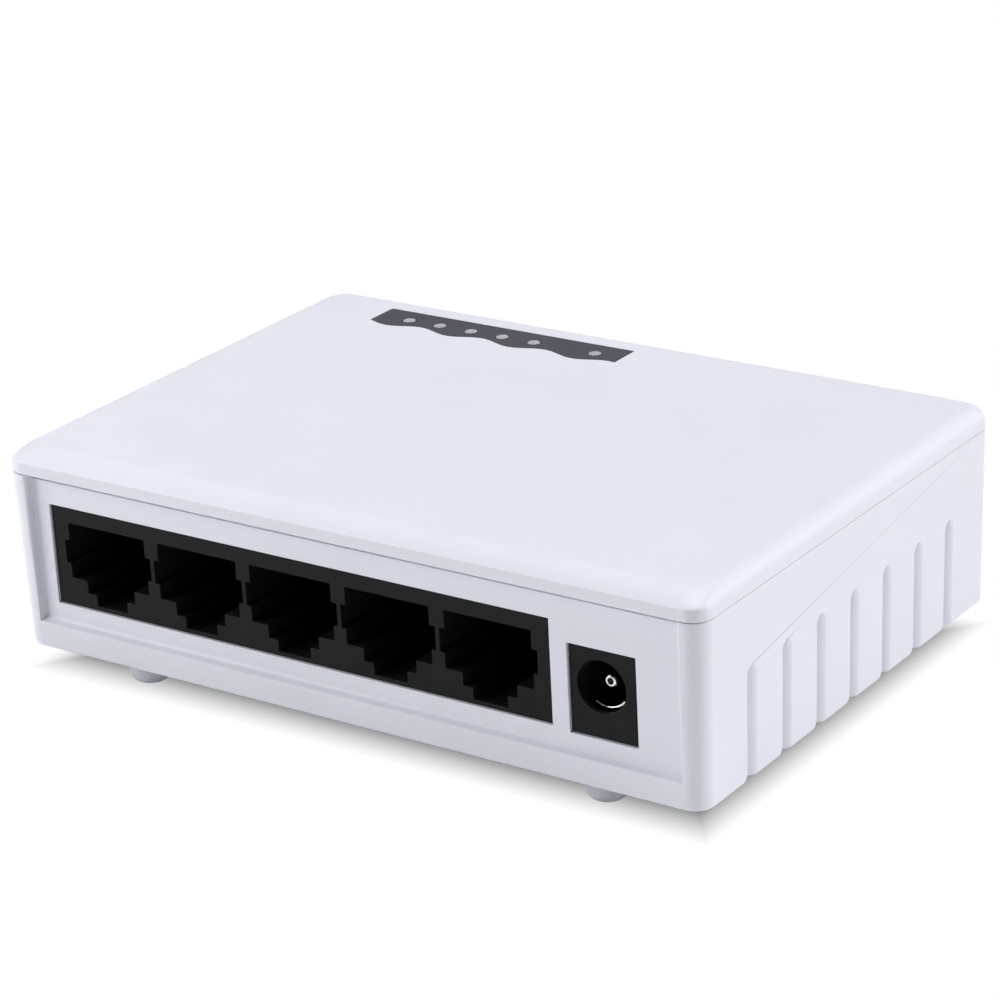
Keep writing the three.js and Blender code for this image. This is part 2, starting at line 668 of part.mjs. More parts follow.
// A push-in foot: a rounded pad under the base, a stem through its floor and a barb above it.
function foot() {
  const padTop = FOOT_HEIGHT - RESTING_GAP;
  const barbZ = FLOOR_TOP + RESTING_GAP;
  return turned([
    [0, 0],
    ...arcPoints(FOOT_RADIUS - FOOT_ROUND, FOOT_ROUND, FOOT_ROUND, -90, 0, 6),
    [FOOT_RADIUS, padTop],
    [FOOT_STEM_RADIUS, padTop],
    [FOOT_STEM_RADIUS, barbZ],
    [FOOT_BARB_RADIUS, barbZ],
    [FOOT_STEM_RADIUS * 0.6, barbZ + FOOT_BARB_HEIGHT],
    [0, barbZ + FOOT_BARB_HEIGHT],
  ], 32);
}

// A pan-head screw, head at z = 0 and shank up +Z, with a cross recess in the head.
function screw([headRadius, headHeight, shankRadius, length, threadPitch]) {
  const rootRadius = shankRadius * 0.76;
  const profile = [[0, -headHeight], [headRadius * 0.6, -headHeight], [headRadius, -headHeight * 0.45]];
  profile.push([headRadius, 0], [rootRadius, 0]);
  for (let z = threadPitch; z < length - threadPitch; z += threadPitch) {
    profile.push([rootRadius, z - threadPitch * 0.3], [shankRadius, z], [rootRadius, z + threadPitch * 0.3]);
  }
  profile.push([rootRadius, length - threadPitch * 0.7], [0, length]);
  const arm = headRadius * 0.55;
  const width = headRadius * 0.16;
  const floor = -headHeight * 0.35;
  return cutBy(
    turned(profile, 12),
    block([-arm, -width, -headHeight - 1], [arm, width, floor]),
    block([-width, -arm, -headHeight - 1], [width, arm, floor]),
  );
}

// ---- Port block ----------------------------------------------------------------------------

const portX = (index) => FIRST_PORT_X + index * PORT_PITCH;

// The stepped mouth of one port: wide body, side notches, then two steps down to the latch slot.
function portMouth(centreX) {
  const rightSide = MOUTH_STEPS.map(([x, height]) => [centreX + x, UNDERSIDE + height]);
  const leftSide = MOUTH_STEPS.map(([x, height]) => [centreX - x, UNDERSIDE + height]).reverse();
  return polygon([...leftSide, ...rightSide].reverse());
}

function portHousing() {
  const left = HOUSING_CENTRE_X - HOUSING_WIDTH / 2;
  const right = HOUSING_CENTRE_X + HOUSING_WIDTH / 2;
  const back = JACK_FACE_Y + HOUSING_LENGTH;
  const pegY = JACK_FACE_Y + HOUSING_PEG_SETBACK;
  const pocketTop = MOUTH_TOP + TONGUE_POCKET;
  const half = INSERT_HALF_WIDTH + INSERT_GAP;
  const body = block([left, JACK_FACE_Y, HOUSING_BOTTOM], [right, back, HOUSING_TOP]);
  const pegs = [0, PORT_COUNT - 1].map((index) =>
    post(portX(index), pegY, BOARD_BOTTOM - 1, HOUSING_BOTTOM + 0.3, HOUSING_PEG_RADIUS, 16),
  );
  const cutters = [];
  for (let index = 0; index < PORT_COUNT; index++) {
    const x = portX(index);
    const rear = [x - half, JACK_FACE_Y + PLUG_DEPTH - 1, INSERT_BOTTOM - INSERT_GAP];
    const tongue = [x - half, JACK_FACE_Y + TONGUE_SETBACK, MOUTH_TOP - 1];
    const farCorner = [x + half, back + 1, pocketTop];
    cutters.push(alongY(portMouth(x), JACK_FACE_Y - 1, JACK_FACE_Y + PLUG_DEPTH));
    cutters.push(block(rear, farCorner));
    cutters.push(block(tongue, farCorner));
  }
  return cutBy(joined(body, ...pegs), ...cutters);
}

// The contact carrier behind one port, about x = 0: a slotted rear wall with a tongue over it.
function portInsert() {
  const half = INSERT_HALF_WIDTH;
  const wallFront = JACK_FACE_Y + PLUG_DEPTH + INSERT_GAP;
  const wallBack = JACK_FACE_Y + HOUSING_LENGTH - INSERT_GAP;
  const tongueFront = JACK_FACE_Y + TONGUE_SETBACK + INSERT_GAP;
  const tongueTop = MOUTH_TOP + TONGUE_POCKET - INSERT_GAP;
  const tongueBottom = tongueTop - TONGUE_THICKNESS;
  const wall = block([-half, wallFront, INSERT_BOTTOM], [half, wallBack, tongueTop]);
  const tongue = block([-half, tongueFront, tongueBottom], [half, wallBack, tongueTop]);
  const slots = [];
  for (let i = 0; i < CONTACT_COUNT; i++) {
    const x = (i - (CONTACT_COUNT - 1) / 2) * CONTACT_PITCH;
    const low = [x - 0.3, wallFront - 1, INSERT_BOTTOM + 3.5];
    const high = [x + 0.3, wallFront + INSERT_SLOT_DEPTH, tongueBottom - 0.6];
    slots.push(block(low, high));
  }
  return cutBy(joined(wall, tongue), ...slots);
}

// Eight spring contacts on their common bend line. The bend line is the local X axis.
function portContacts() {
  const bendLength = CONTACT_PITCH * (CONTACT_COUNT - 1) + CONTACT_WIDTH;
  const bend = new THREE.CylinderGeometry(CONTACT_BEND_RADIUS, CONTACT_BEND_RADIUS, bendLength, 12);
  bend.rotateZ(Math.PI / 2);
  const fingers = [];
  for (let i = 0; i < CONTACT_COUNT; i++) {
    const finger = new THREE.BoxGeometry(CONTACT_WIDTH, CONTACT_LENGTH, CONTACT_THICKNESS);
    finger.translate((i - (CONTACT_COUNT - 1) / 2) * CONTACT_PITCH, CONTACT_LENGTH / 2, 0);
    finger.rotateX(-CONTACT_SLOPE);
    fingers.push(solid(finger));
  }
  return joined(solid(bend), ...fingers);
}

// ---- Power jack ----------------------------------------------------------------------------

function jackBody() {
  const half = JACK_WIDTH / 2;
  const bottom = BOARD_TOP + 0.05;
  const face = JACK_FACE_Y;
  const back = face + JACK_LENGTH;
  const left = JACK_X - half;
  const right = JACK_X + half;
  const flange = block([left, face, bottom], [right, face + JACK_FLANGE, JACK_TOP]);
  const lip = block([left, face, JACK_LIP_BOTTOM], [right, face + JACK_LIP_LENGTH, bottom + 1]);
  const barrelRadius = half - JACK_BARREL_INSET;
  const barrel = barAlongY(JACK_X, JACK_BORE_Z, face + 1, back, barrelRadius);
  const saddleCorner = [JACK_X - barrelRadius, face + 1, bottom];
  const saddle = block(saddleCorner, [JACK_X + barrelRadius, back, JACK_BORE_Z]);
  const boreEnd = face + JACK_BORE_DEPTH;
  const hollowTop = JACK_BORE_Z - 1.5;
  const slotCorner = [JACK_BORE_X - JACK_SPRING_SLOT, face + 5, bottom - 1];
  const slotEnd = [JACK_BORE_X + JACK_SPRING_SLOT, boreEnd, hollowTop];
  const pocketX = JACK_POCKET_HALF_WIDTH;
  const pocketZ = JACK_BORE_Z - JACK_POCKET_DEPTH;
  const pocketCorner = [JACK_BORE_X - pocketX, face + JACK_POCKET_SETBACK, pocketZ];
  return cutBy(
    joined(flange, lip, barrel, saddle),
    barAlongY(JACK_BORE_X, JACK_BORE_Z, face - 1, boreEnd, JACK_BORE_RADIUS, 48),
    barAlongY(JACK_BORE_X, JACK_BORE_Z, face, back + 1, JACK_PIN_RADIUS + 0.15, 24),
    block(pocketCorner, [JACK_BORE_X + pocketX, boreEnd, hollowTop]),
    block(slotCorner, slotEnd),
  );
}

// The centre pin, hollow at the tip, with its rear flange and the solder lug that runs down
// through the board.
function jackPin() {
  const flange = JACK_FACE_Y + JACK_LENGTH + JACK_LUG_GAP - (JACK_FACE_Y + JACK_PIN_SETBACK);
  const flangeBack = flange + JACK_LUG_THICKNESS;
  const hole = JACK_PIN_HOLE_RADIUS;
  const r = JACK_PIN_RADIUS;
  const profile = [
    [0, JACK_PIN_HOLE_DEPTH],
    [hole, JACK_PIN_HOLE_DEPTH],
    [hole, 0.08],
    [hole + 0.08, 0],
    [r * 0.72, 0],
    [r * 0.9, 0.15],
    [r, 0.45],
    [r, flange],
    [JACK_PIN_FLANGE_RADIUS, flange],
    [JACK_PIN_FLANGE_RADIUS, flangeBack],
    [0, flangeBack],
  ];
  const points = profile.map(([radius, along]) => new THREE.Vector2(radius, along));
  const pin = new THREE.LatheGeometry(points, 32);
  pin.translate(JACK_BORE_X, JACK_FACE_Y + JACK_PIN_SETBACK, JACK_BORE_Z);
  const lugCorner = [JACK_BORE_X - 1.2, JACK_LUG_Y, LUG_BOTTOM];
  const lug = block(lugCorner, [JACK_BORE_X + 1.2, JACK_LUG_Y + JACK_LUG_THICKNESS, JACK_BORE_Z]);
  return joined(solid(pin), lug);
}

// The sleeve spring: a leaf curved to the barrel plug, with its leg at the rear, which is the
// place it bends. Local origin on that bend line.
function jackSpring() {
  const start = radians(270 + JACK_SPRING_TURN - JACK_SPRING_SPREAD);
  const end = radians(270 + JACK_SPRING_TURN + JACK_SPRING_SPREAD);
  const slice = new THREE.Shape();
  slice.absarc(0, JACK_SPRING_OUTER, JACK_SPRING_OUTER, start, end, false);
  slice.absarc(0, JACK_SPRING_OUTER, JACK_SPRING_INNER, end, start, true);
  const leaf = alongY(slice, -JACK_SPRING_LENGTH, 0, 8);
  const legTop = JACK_SPRING_OUTER - JACK_SPRING_INNER;
  const leg = block([-1.1, -0.4, LUG_BOTTOM - JACK_SPRING_Z], [1.1, 0, legTop]);
  return joined(leaf, leg);
}

// The switched side contact, folded over the jack's left flank.
function jackSideContact() {
  const right = JACK_X - JACK_WIDTH / 2 - JACK_LUG_GAP;
  const left = right - SIDE_CONTACT_THICKNESS;
  const y = JACK_FACE_Y + SIDE_CONTACT_SETBACK;
  const plate = block([left, y - 1.4, BOARD_TOP + 0.1], [right, y + 1.4, JACK_BORE_Z]);
  const lug = block([left, y - 0.8, LUG_BOTTOM], [right, y + 0.8, BOARD_TOP + 1]);
  return joined(plate, lug);
}

// ---- Circuit board and what stands on it ---------------------------------------------------

function circuitBoard() {
  const half = BOARD_WIDTH / 2;
  const board = block([-half, BOARD_FRONT_Y, BOARD_BOTTOM], [half, BOARD_BACK_Y, BOARD_TOP]);
  const hole = (x, y, radius) => post(x, y, BOARD_BOTTOM - 1, BOARD_TOP + 1, radius, 20);
  const slot = (x, y, halfX, halfY) =>
    block([x - halfX, y - halfY, BOARD_BOTTOM - 1], [x + halfX, y + halfY, BOARD_TOP + 1]);
  const sideContactX = JACK_X - JACK_WIDTH / 2 - JACK_LUG_GAP - SIDE_CONTACT_THICKNESS / 2;
  const pegY = JACK_FACE_Y + HOUSING_PEG_SETBACK;
  const holes = [
    slot(JACK_BORE_X, JACK_LUG_Y + JACK_LUG_THICKNESS / 2, 1.4, 0.5),
    slot(JACK_BORE_X, JACK_SPRING_Y - 0.2, 1.4, 0.5),
    slot(sideContactX, JACK_FACE_Y + SIDE_CONTACT_SETBACK, 0.4, 1.0),
    hole(portX(0), pegY, HOUSING_PEG_RADIUS + 0.15),
    hole(portX(PORT_COUNT - 1), pegY, HOUSING_PEG_RADIUS + 0.15),
  ];
  for (const side of [-1, 1]) {
    holes.push(hole(side * CASE_SCREW_X, CASE_SCREW_Y, CASE_BOSS_RADIUS + 0.3));
    holes.push(hole(side * BOARD_POST_X, BOARD_SCREW_Y, BOARD_SCREW_HOLE + 0.1));
    holes.push(hole(side * BOARD_POST_X, BOARD_PIN_Y, BOARD_PIN_RADIUS + 0.15));
  }
  return cutBy(board, ...holes);
}

// A moulded package about the local origin, resting on z = 0, with drawn-in upper edges.
function mouldedPackage(width, depth, height, taper = 0.3) {
  const level = (z, inset) =>
    ring(
      {
        left: -width / 2 + inset,
        right: width / 2 - inset,
        front: -depth / 2 + inset,
        back: depth / 2 - inset,
        radius: 0.35,
        z,
      },
      2,
    );
  return loft([level(0, taper), level(height * 0.45, 0), level(height - taper, 0.1), level(height, taper)]);
}

// A radial electrolytic capacitor: rolled neck near the foot, rounded top rim.
function capacitor(radius, height) {
  return turned([
    [0, 0],
    [radius - 0.4, 0],
    [radius, 0.5],
    [radius, 1.2],
    [radius - 0.35, 1.7],
    [radius, 2.2],
    ...arcPoints(radius - 0.6, height - 0.6, 0.6, 0, 90, 3),
    [radius - 0.9, height - 0.15],
    [0, height - 0.15],
  ], 32);
}

function crystalCan() {
  const reach = CRYSTAL_LENGTH / 2 - CRYSTAL_RADIUS;
  const outline = (radius) => {
    const shape = new THREE.Shape();
    shape.absarc(reach, 0, radius, -Math.PI / 2, Math.PI / 2, false);
    shape.absarc(-reach, 0, radius, Math.PI / 2, (3 * Math.PI) / 2, false);
    return shape;
  };
  const brim = alongZ(outline(CRYSTAL_RADIUS + 0.3), 0, 0.5, 8);
  return joined(brim, alongZ(outline(CRYSTAL_RADIUS), 0.3, CRYSTAL_HEIGHT, 8));
}

function boardLamp() {
  return joined(block([-1, -0.62, 0], [1, 0.62, 0.35]), block([-0.65, -0.55, 0.2], [0.65, 0.55, 0.8]));
}

// ---- Assembly ------------------------------------------------------------------------------

const deviceGroup = new THREE.Group();

function addPiece(parent, name, shape, material, [x, y, z] = [0, 0, 0]) {
  const mesh = new THREE.Mesh(geometryOf(shape), material);
  mesh.name = name;
  mesh.position.set(x, y, z);
  parent.add(mesh);
  return mesh;
}

function addCase() {
  addPiece(deviceGroup, "base_shell", baseShell(), whitePlastic());
  for (const [end, sideY] of [["front", -1], ["rear", 1]]) {
    for (const [hand, sideX] of [["left", -1], ["right", 1]]) {
      const place = [sideX * FOOT_X, sideY * FOOT_Y, 0];
      addPiece(deviceGroup, `foot_${end}_${hand}`, foot(), whiteRubber(), place);
    }
  }
  const screwZ = UNDERSIDE + CASE_SCREW_HEAD_DEPTH - RESTING_GAP;
  for (const [hand, side] of [["left", -1], ["right", 1]]) {
    const caseScrew = screw(CASE_SCREW);
    const place = [side * CASE_SCREW_X, CASE_SCREW_Y, screwZ];
    addPiece(deviceGroup, `case_screw_${hand}`, caseScrew, zincSteel(), place);
  }
}

function addCover() {
  const cover = new THREE.Group();
  addPiece(cover, "top_cover", topCover(), whitePlastic());
  addPiece(cover, "indicator_label", indicatorLabel(), labelFilm());
  addPiece(cover, "light_guide", lightGuide(), diffuser());
  deviceGroup.add(cover);
}

function addPorts() {
  const ports = new THREE.Group();
  addPiece(ports, "port_housing", portHousing(), blackPlastic());
  const insert = portInsert();
  const contacts = portContacts();
  const bendLine = [0, JACK_FACE_Y + CONTACT_BEND_SETBACK, MOUTH_TOP - CONTACT_BEND_DROP];
  for (let index = 0; index < PORT_COUNT; index++) {
    const port = new THREE.Group();
    port.position.x = portX(index);
    addPiece(port, `port_${index + 1}_insert`, insert, blackPlastic());
    addPiece(port, `port_${index + 1}_contacts`, contacts, goldPlate(), bendLine);
    ports.add(port);
  }
  deviceGroup.add(ports);
}

function addPowerJack() {
  const jack = new THREE.Group();
  const bendLine = [JACK_BORE_X, JACK_SPRING_Y, JACK_SPRING_Z];
  addPiece(jack, "power_jack_body", jackBody(), blackPlastic());
  addPiece(jack, "power_jack_pin", jackPin(), nickel());
  addPiece(jack, "power_jack_spring", jackSpring(), nickel(), bendLine);
  addPiece(jack, "power_jack_side_contact", jackSideContact(), nickel());
  deviceGroup.add(jack);
}

function addPackage(parent, name, [x, y, width, depth, height], material, taper) {
  addPiece(parent, name, mouldedPackage(width, depth, height, taper), material, [x, y, 0]);
}

function addCapacitor(parent, name, [x, y, radius, height]) {
  addPiece(parent, name, capacitor(radius, height), capacitorSleeve(), [x, y, 0]);
}

function addBoard() {
  addPiece(deviceGroup, "circuit_board", circuitBoard(), boardLaminate());
  const onBoard = new THREE.Group();
  onBoard.position.z = BOARD_TOP + RESTING_GAP;
  addPackage(onBoard, "switch_chip", SWITCH_CHIP, chipEpoxy());
  const [firstX, ...moduleRest] = FIRST_MODULE;
  for (let i = 0; i < MODULE_COUNT; i++) {
    const module = [firstX + i * MODULE_PITCH, ...moduleRest];
    addPackage(onBoard, `magnetics_module_${i + 1}`, module, chipEpoxy());
  }
  addPackage(onBoard, "power_inductor", POWER_INDUCTOR, ferrite(), 0.6);
  addPackage(onBoard, "voltage_regulator", VOLTAGE_REGULATOR, chipEpoxy());
  addPackage(onBoard, "input_diode", INPUT_DIODE, chipEpoxy());
  addCapacitor(onBoard, "input_capacitor", INPUT_CAPACITOR);
  addCapacitor(onBoard, "output_capacitor", OUTPUT_CAPACITOR);
  addPiece(onBoard, "crystal_can", crystalCan(), nickel(), [CRYSTAL_X, CRYSTAL_Y, 0]);
  LIGHT_X.forEach((x, i) => {
    const name = i < PORT_COUNT ? `link_lamp_${i + 1}` : "power_lamp";
    addPiece(onBoard, name, boardLamp(), lampCeramic(), [x, LIGHT_Y, 0]);
  });
  for (const [hand, side] of [["left", -1], ["right", 1]]) {
    const boardScrew = screw(BOARD_SCREW);
    const place = [side * BOARD_POST_X, BOARD_SCREW_Y, 0];
    const mesh = addPiece(onBoard, `board_screw_${hand}`, boardScrew, zincSteel(), place);
    mesh.rotation.x = Math.PI;
  }
  deviceGroup.add(onBoard);
}

addCase();
addCover();
addPorts();
addPowerJack();
addBoard();

export default deviceGroup;
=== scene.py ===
"""Looks of a small desktop network switch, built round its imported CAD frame. Lengths are in metres."""

import json
import math
import random

import bmesh
import bpy
from mathutils import Matrix, Vector


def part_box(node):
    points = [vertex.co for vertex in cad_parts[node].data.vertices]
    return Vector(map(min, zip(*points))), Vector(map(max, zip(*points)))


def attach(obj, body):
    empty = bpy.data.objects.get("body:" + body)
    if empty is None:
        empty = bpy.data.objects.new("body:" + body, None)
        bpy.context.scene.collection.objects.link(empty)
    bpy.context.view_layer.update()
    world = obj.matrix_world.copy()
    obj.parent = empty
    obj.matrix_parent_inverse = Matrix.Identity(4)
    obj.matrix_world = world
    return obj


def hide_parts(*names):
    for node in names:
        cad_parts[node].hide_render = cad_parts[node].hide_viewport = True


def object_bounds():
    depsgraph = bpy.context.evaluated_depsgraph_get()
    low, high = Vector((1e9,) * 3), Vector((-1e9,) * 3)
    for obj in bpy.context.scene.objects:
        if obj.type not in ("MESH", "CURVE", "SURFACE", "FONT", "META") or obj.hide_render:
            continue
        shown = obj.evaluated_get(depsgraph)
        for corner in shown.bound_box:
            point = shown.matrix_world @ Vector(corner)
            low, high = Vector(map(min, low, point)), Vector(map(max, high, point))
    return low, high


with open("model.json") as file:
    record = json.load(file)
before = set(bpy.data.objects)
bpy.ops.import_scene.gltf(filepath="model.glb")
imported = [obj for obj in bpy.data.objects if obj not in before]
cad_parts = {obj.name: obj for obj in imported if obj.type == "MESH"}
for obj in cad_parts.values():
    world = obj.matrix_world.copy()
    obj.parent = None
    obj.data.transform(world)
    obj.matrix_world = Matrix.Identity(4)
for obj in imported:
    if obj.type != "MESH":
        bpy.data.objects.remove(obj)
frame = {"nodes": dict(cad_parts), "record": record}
CAD_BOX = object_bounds()
NODES = frame["nodes"]
MM = 0.001

# ---- View and light ------------------------------------------------------------------------

CAMERA_AZIMUTH = 35.41  # degrees round from straight in front of the ports
CAMERA_ELEVATION = 21.89
CAMERA_ROLL = -3.035
CAMERA_DISTANCE = 0.4284
CAMERA_LENS = 125.46  # millimetres
CAMERA_SENSOR = 36.0
CAMERA_AIM = Vector((-0.97, 1.27, 4.19)) * MM  # from the centre of the CAD box

# Softboxes: azimuth from -Y towards +X and elevation in degrees, distance, size, power in watts.
SOFTBOXES = {
    "overhead": (180, 83.5, 1.2, 0.7, 7.8),
    "overhead_back": (165, 66, 1.2, 1.1, 1.6),
    "front_left": (-52, 28, 1.2, 0.8, 1.9),
    "front_left_near": (-55, 24, 0.5, 0.35, 1.3),
    "front_right": (42, 22, 1.2, 0.8, 0.8),
    "right_back": (122, 30, 1.2, 0.8, 9.2),
}
SKY_LEVEL = 0.04
FLOOR_SIZE = 6.0
# The contact shade below is painted onto the floor as the camera sees it; it is no cast shadow.
SHADE_REACH = 6.4 * MM  # measured inwards from the outline of the case
SHADE_DEPTH = 0.70  # how much the painted contact shade darkens the floor at that distance
SHADE_CURVE = 1.2  # how its loss grows on the way in: 1 would be even
SHADE_DARKEST = 0.12
SHADE_SIDES = 1.3  # how much quicker it falls away at the left and right

# ---- Edge rounding --------------------------------------------------------------------------

EDGE_ROUND = {
    "base_shell": 0.09 * MM,
    "top_cover": 0.04 * MM,
    "port_housing": 0.09 * MM,
    "power_jack_body": 0.08 * MM,
    "indicator_label": 0.04 * MM,
    "circuit_board": 0.08 * MM,
}
SMALL_EDGE_ROUND = 0.06 * MM
WELD_DISTANCE = 2e-6
FLAT_ANGLE = math.radians(0.8)
SHARP_ANGLE = math.radians(32)
ADDED_SHARP_ANGLE = math.radians(35)  # the same limit on the pieces modelled here

# ---- Port wires and leads -------------------------------------------------------------------

PORT_COUNT = 5
WIRES_PER_PORT = 8
WIRE_PITCH = 1.016 * MM
WIRE_RADIUS = 0.17 * MM
WIRE_HINGE_INSET = 0.25 * MM  # the hinge line lies this far inside the contacts' box
WIRE_TIP_INSET = 0.15 * MM
WIRE_TIP_UPTURN = 0.1 * MM
WIRE_STATIONS = (0.0, 0.3, 0.6, 0.85, 0.95)  # shares of the way from the hinge line to the tip
WIRE_SIDES = 8
MODULE_COUNT = 3
MODULE_LEADS = 12
MODULE_LEAD_PITCH = 1.27 * MM
CHIP_LEADS = 24
CHIP_LEAD_PITCH = 0.5 * MM

scene = bpy.context.scene


# ---- Shader helpers -------------------------------------------------------------------------


def new_material(name):
    material = bpy.data.materials.new(name)
    material.use_nodes = True
    return material, material.node_tree, material.node_tree.nodes["Principled BSDF"]


def add_node(tree, kind, inputs=None, **settings):
    """A shader node; an input that is a socket is linked, and any other is set."""
    node = tree.nodes.new(kind)
    for key, value in settings.items():
        setattr(node, key, value)
    for key, value in (inputs or {}).items():
        if isinstance(value, bpy.types.NodeSocket):
            tree.links.new(value, node.inputs[key])
        else:
            node.inputs[key].default_value = value
    return node


def noise(tree, size, detail=2.0):
    """Noise whose lumps are about size across, in the object's own frame."""
    place = add_node(tree, "ShaderNodeTexCoord").outputs["Object"]
    made = add_node(
        tree,
        "ShaderNodeTexNoise",
        {"Vector": place, "Scale": 1.0 / size, "Detail": detail},
    )
    return made.outputs["Fac"]


def spread(tree, value, low, high):
    """Maps 0.3 to 0.7 of a noise onto low to high."""
    made = add_node(
        tree,
        "ShaderNodeMapRange",
        {"Value": value, "From Min": 0.3, "From Max": 0.7, "To Min": low, "To Max": high},
    )
    return made.outputs["Result"]


def shade(colour, factor):
    return tuple(min(1.0, channel * factor) for channel in colour) + (1.0,)


def mottled(tree, colour, size, amount):
    """A colour that drifts by amount over patches of size."""
    ramp = add_node(tree, "ShaderNodeValToRGB", {"Fac": noise(tree, size, 3.0)})
    ramp.color_ramp.elements[0].position = 0.3
    ramp.color_ramp.elements[1].position = 0.7
    ramp.color_ramp.elements[0].color = shade(colour, 1 - amount)
    ramp.color_ramp.elements[1].color = shade(colour, 1 + amount)
    return ramp.outputs["Color"]


def bump(tree, height, depth):
    made = add_node(tree, "ShaderNodeBump", {"Height": height, "Distance": depth, "Strength": 1.0})
    return made.outputs["Normal"]


def moulded_plastic(name, colour, roughness, grain, depth, drift=0.012, patch=22 * MM):
    """Moulded plastic: slow colour drift, uneven gloss and a fine spark-eroded grain."""
    material, tree, surface = new_material(name)
    tree.links.new(mottled(tree, colour, patch, drift), surface.inputs["Base Color"])
    gloss = spread(tree, noise(tree, 6 * MM, 4.0), roughness - 0.035, roughness + 0.035)
    tree.links.new(gloss, surface.inputs["Roughness"])
    tree.links.new(bump(tree, noise(tree, grain, 3.0), depth), surface.inputs["Normal"])
    return material


def brushed_metal(name, colour, roughness, grain, depth):
    """Plated metal: patchy gloss, faint drawn lines and a trace of tarnish."""
    material, tree, surface = new_material(name)
    surface.inputs["Metallic"].default_value = 1.0
    tree.links.new(mottled(tree, colour, 1.2 * MM, 0.06), surface.inputs["Base Color"])
    gloss = spread(tree, noise(tree, 0.6 * MM, 4.0), roughness * 0.7, roughness * 1.35)
    tree.links.new(gloss, surface.inputs["Roughness"])
    place = add_node(tree, "ShaderNodeTexCoord").outputs["Object"]
    stretched = add_node(tree, "ShaderNodeMapping", {"Vector": place, "Scale": (1.0, 0.08, 1.0)})
    lines = add_node(
        tree,
        "ShaderNodeTexNoise",
        {"Vector": stretched.outputs["Vector"], "Scale": 1.0 / grain, "Detail": 2.0},
    )
    tree.links.new(bump(tree, lines.outputs["Fac"], depth), surface.inputs["Normal"])
    return material


def case_plastic():
    material = moulded_plastic("case_white", (0.76, 0.77, 0.845), 0.42, 0.22 * MM, 0.0035 * MM)
    surface = material.node_tree.nodes["Principled BSDF"]
    surface.inputs["Subsurface Weight"].default_value = 0.08
    surface.inputs["Subsurface Radius"].default_value = (1.0, 0.9, 0.8)
    surface.inputs["Subsurface Scale"].default_value = 0.4 * MM
    return material


def foot_rubber():
    return moulded_plastic("foot_rubber", (0.70, 0.71, 0.77), 0.72, 0.12 * MM, 0.008 * MM, 0.03, 3 * MM)


def label_film():
    return moulded_plastic("label_film", (0.082, 0.082, 0.098), 0.44, 0.1 * MM, 0.002 * MM, 0.05, 5 * MM)


def light_diffuser():
    material, tree, surface = new_material("light_diffuser")
    tree.links.new(mottled(tree, (0.62, 0.62, 0.66), 0.7 * MM, 0.06), surface.inputs["Base Color"])
    tree.links.new(spread(tree, noise(tree, 0.5 * MM), 0.25, 0.4), surface.inputs["Roughness"])
    surface.inputs["Transmission Weight"].default_value = 0.25
    surface.inputs["Subsurface Weight"].default_value = 0.3
    surface.inputs["Subsurface Scale"].default_value = 0.5 * MM
    return material


def jack_plastic():
    colour = (0.0095, 0.0095, 0.0105)
    material = moulded_plastic("jack_black", colour, 0.45, 0.12 * MM, 0.004 * MM, 0.08, 4 * MM)
    material.node_tree.nodes["Principled BSDF"].inputs["Specular IOR Level"].default_value = 0.12
    return material


def gold_plate():
    return brushed_metal("contact_gold", (0.86, 0.60, 0.24), 0.2, 0.05 * MM, 0.001 * MM)


def nickel_plate():
    return brushed_metal("jack_nickel", (0.80, 0.79, 0.77), 0.16, 0.06 * MM, 0.001 * MM)


def screw_steel():
    return brushed_metal("screw_steel", (0.62, 0.63, 0.66), 0.3, 0.08 * MM, 0.003 * MM)


def tin_plate():
    return brushed_metal("board_tin", (0.74, 0.74, 0.75), 0.28, 0.1 * MM, 0.002 * MM)


def epoxy():
    return moulded_plastic("package_epoxy", (0.016, 0.016, 0.018), 0.5, 0.08 * MM, 0.006 * MM, 0.1, 3 * MM)


def ferrite():
    colour = (0.045, 0.045, 0.048)
    return moulded_plastic("inductor_ferrite", colour, 0.62, 0.1 * MM, 0.01 * MM, 0.12, 1.5 * MM)


def lamp_body():
    return moulded_plastic("lamp_body", (0.78, 0.75, 0.60), 0.35, 0.1 * MM, 0.003 * MM, 0.04, 1 * MM)


def board_laminate():
    """Solder mask over a woven laminate: green on the two faces and straw-coloured on the cut edges."""
    material, tree, surface = new_material("board_laminate")
    normal = add_node(tree, "ShaderNodeNewGeometry").outputs["True Normal"]
    up = add_node(tree, "ShaderNodeSeparateXYZ", {"Vector": normal}).outputs["Z"]
    level = add_node(tree, "ShaderNodeMath", {0: up}, operation="ABSOLUTE").outputs[0]
    on_face = add_node(tree, "ShaderNodeMath", {0: level, 1: 0.7}, operation="GREATER_THAN").outputs[0]
    place = add_node(tree, "ShaderNodeTexCoord").outputs["Object"]
    weave = add_node(
        tree,
        "ShaderNodeTexBrick",
        {
            "Vector": place,
            "Color1": (0.010, 0.115, 0.048, 1),
            "Color2": (0.013, 0.128, 0.055, 1),
            "Mortar": (0.008, 0.095, 0.040, 1),
            "Scale": 1.0 / (1.1 * MM),
            "Mortar Size": 0.06,
            "Mortar Smooth": 1.0,
        },
    )
    edge = mottled(tree, (0.46, 0.40, 0.20), 0.4 * MM, 0.12)
    mix = add_node(tree, "ShaderNodeMix", {"Factor": on_face}, data_type="RGBA")
    tree.links.new(edge, mix.inputs[6])
    tree.links.new(weave.outputs["Color"], mix.inputs[7])
    tree.links.new(mix.outputs[2], surface.inputs["Base Color"])
    tree.links.new(spread(tree, noise(tree, 3 * MM), 0.28, 0.42), surface.inputs["Roughness"])
    tree.links.new(bump(tree, weave.outputs["Fac"], 0.004 * MM), surface.inputs["Normal"])
    return material


def masked_copper():
    return moulded_plastic("board_tracks", (0.022, 0.19, 0.075), 0.3, 0.3 * MM, 0.002 * MM, 0.06, 2 * MM)


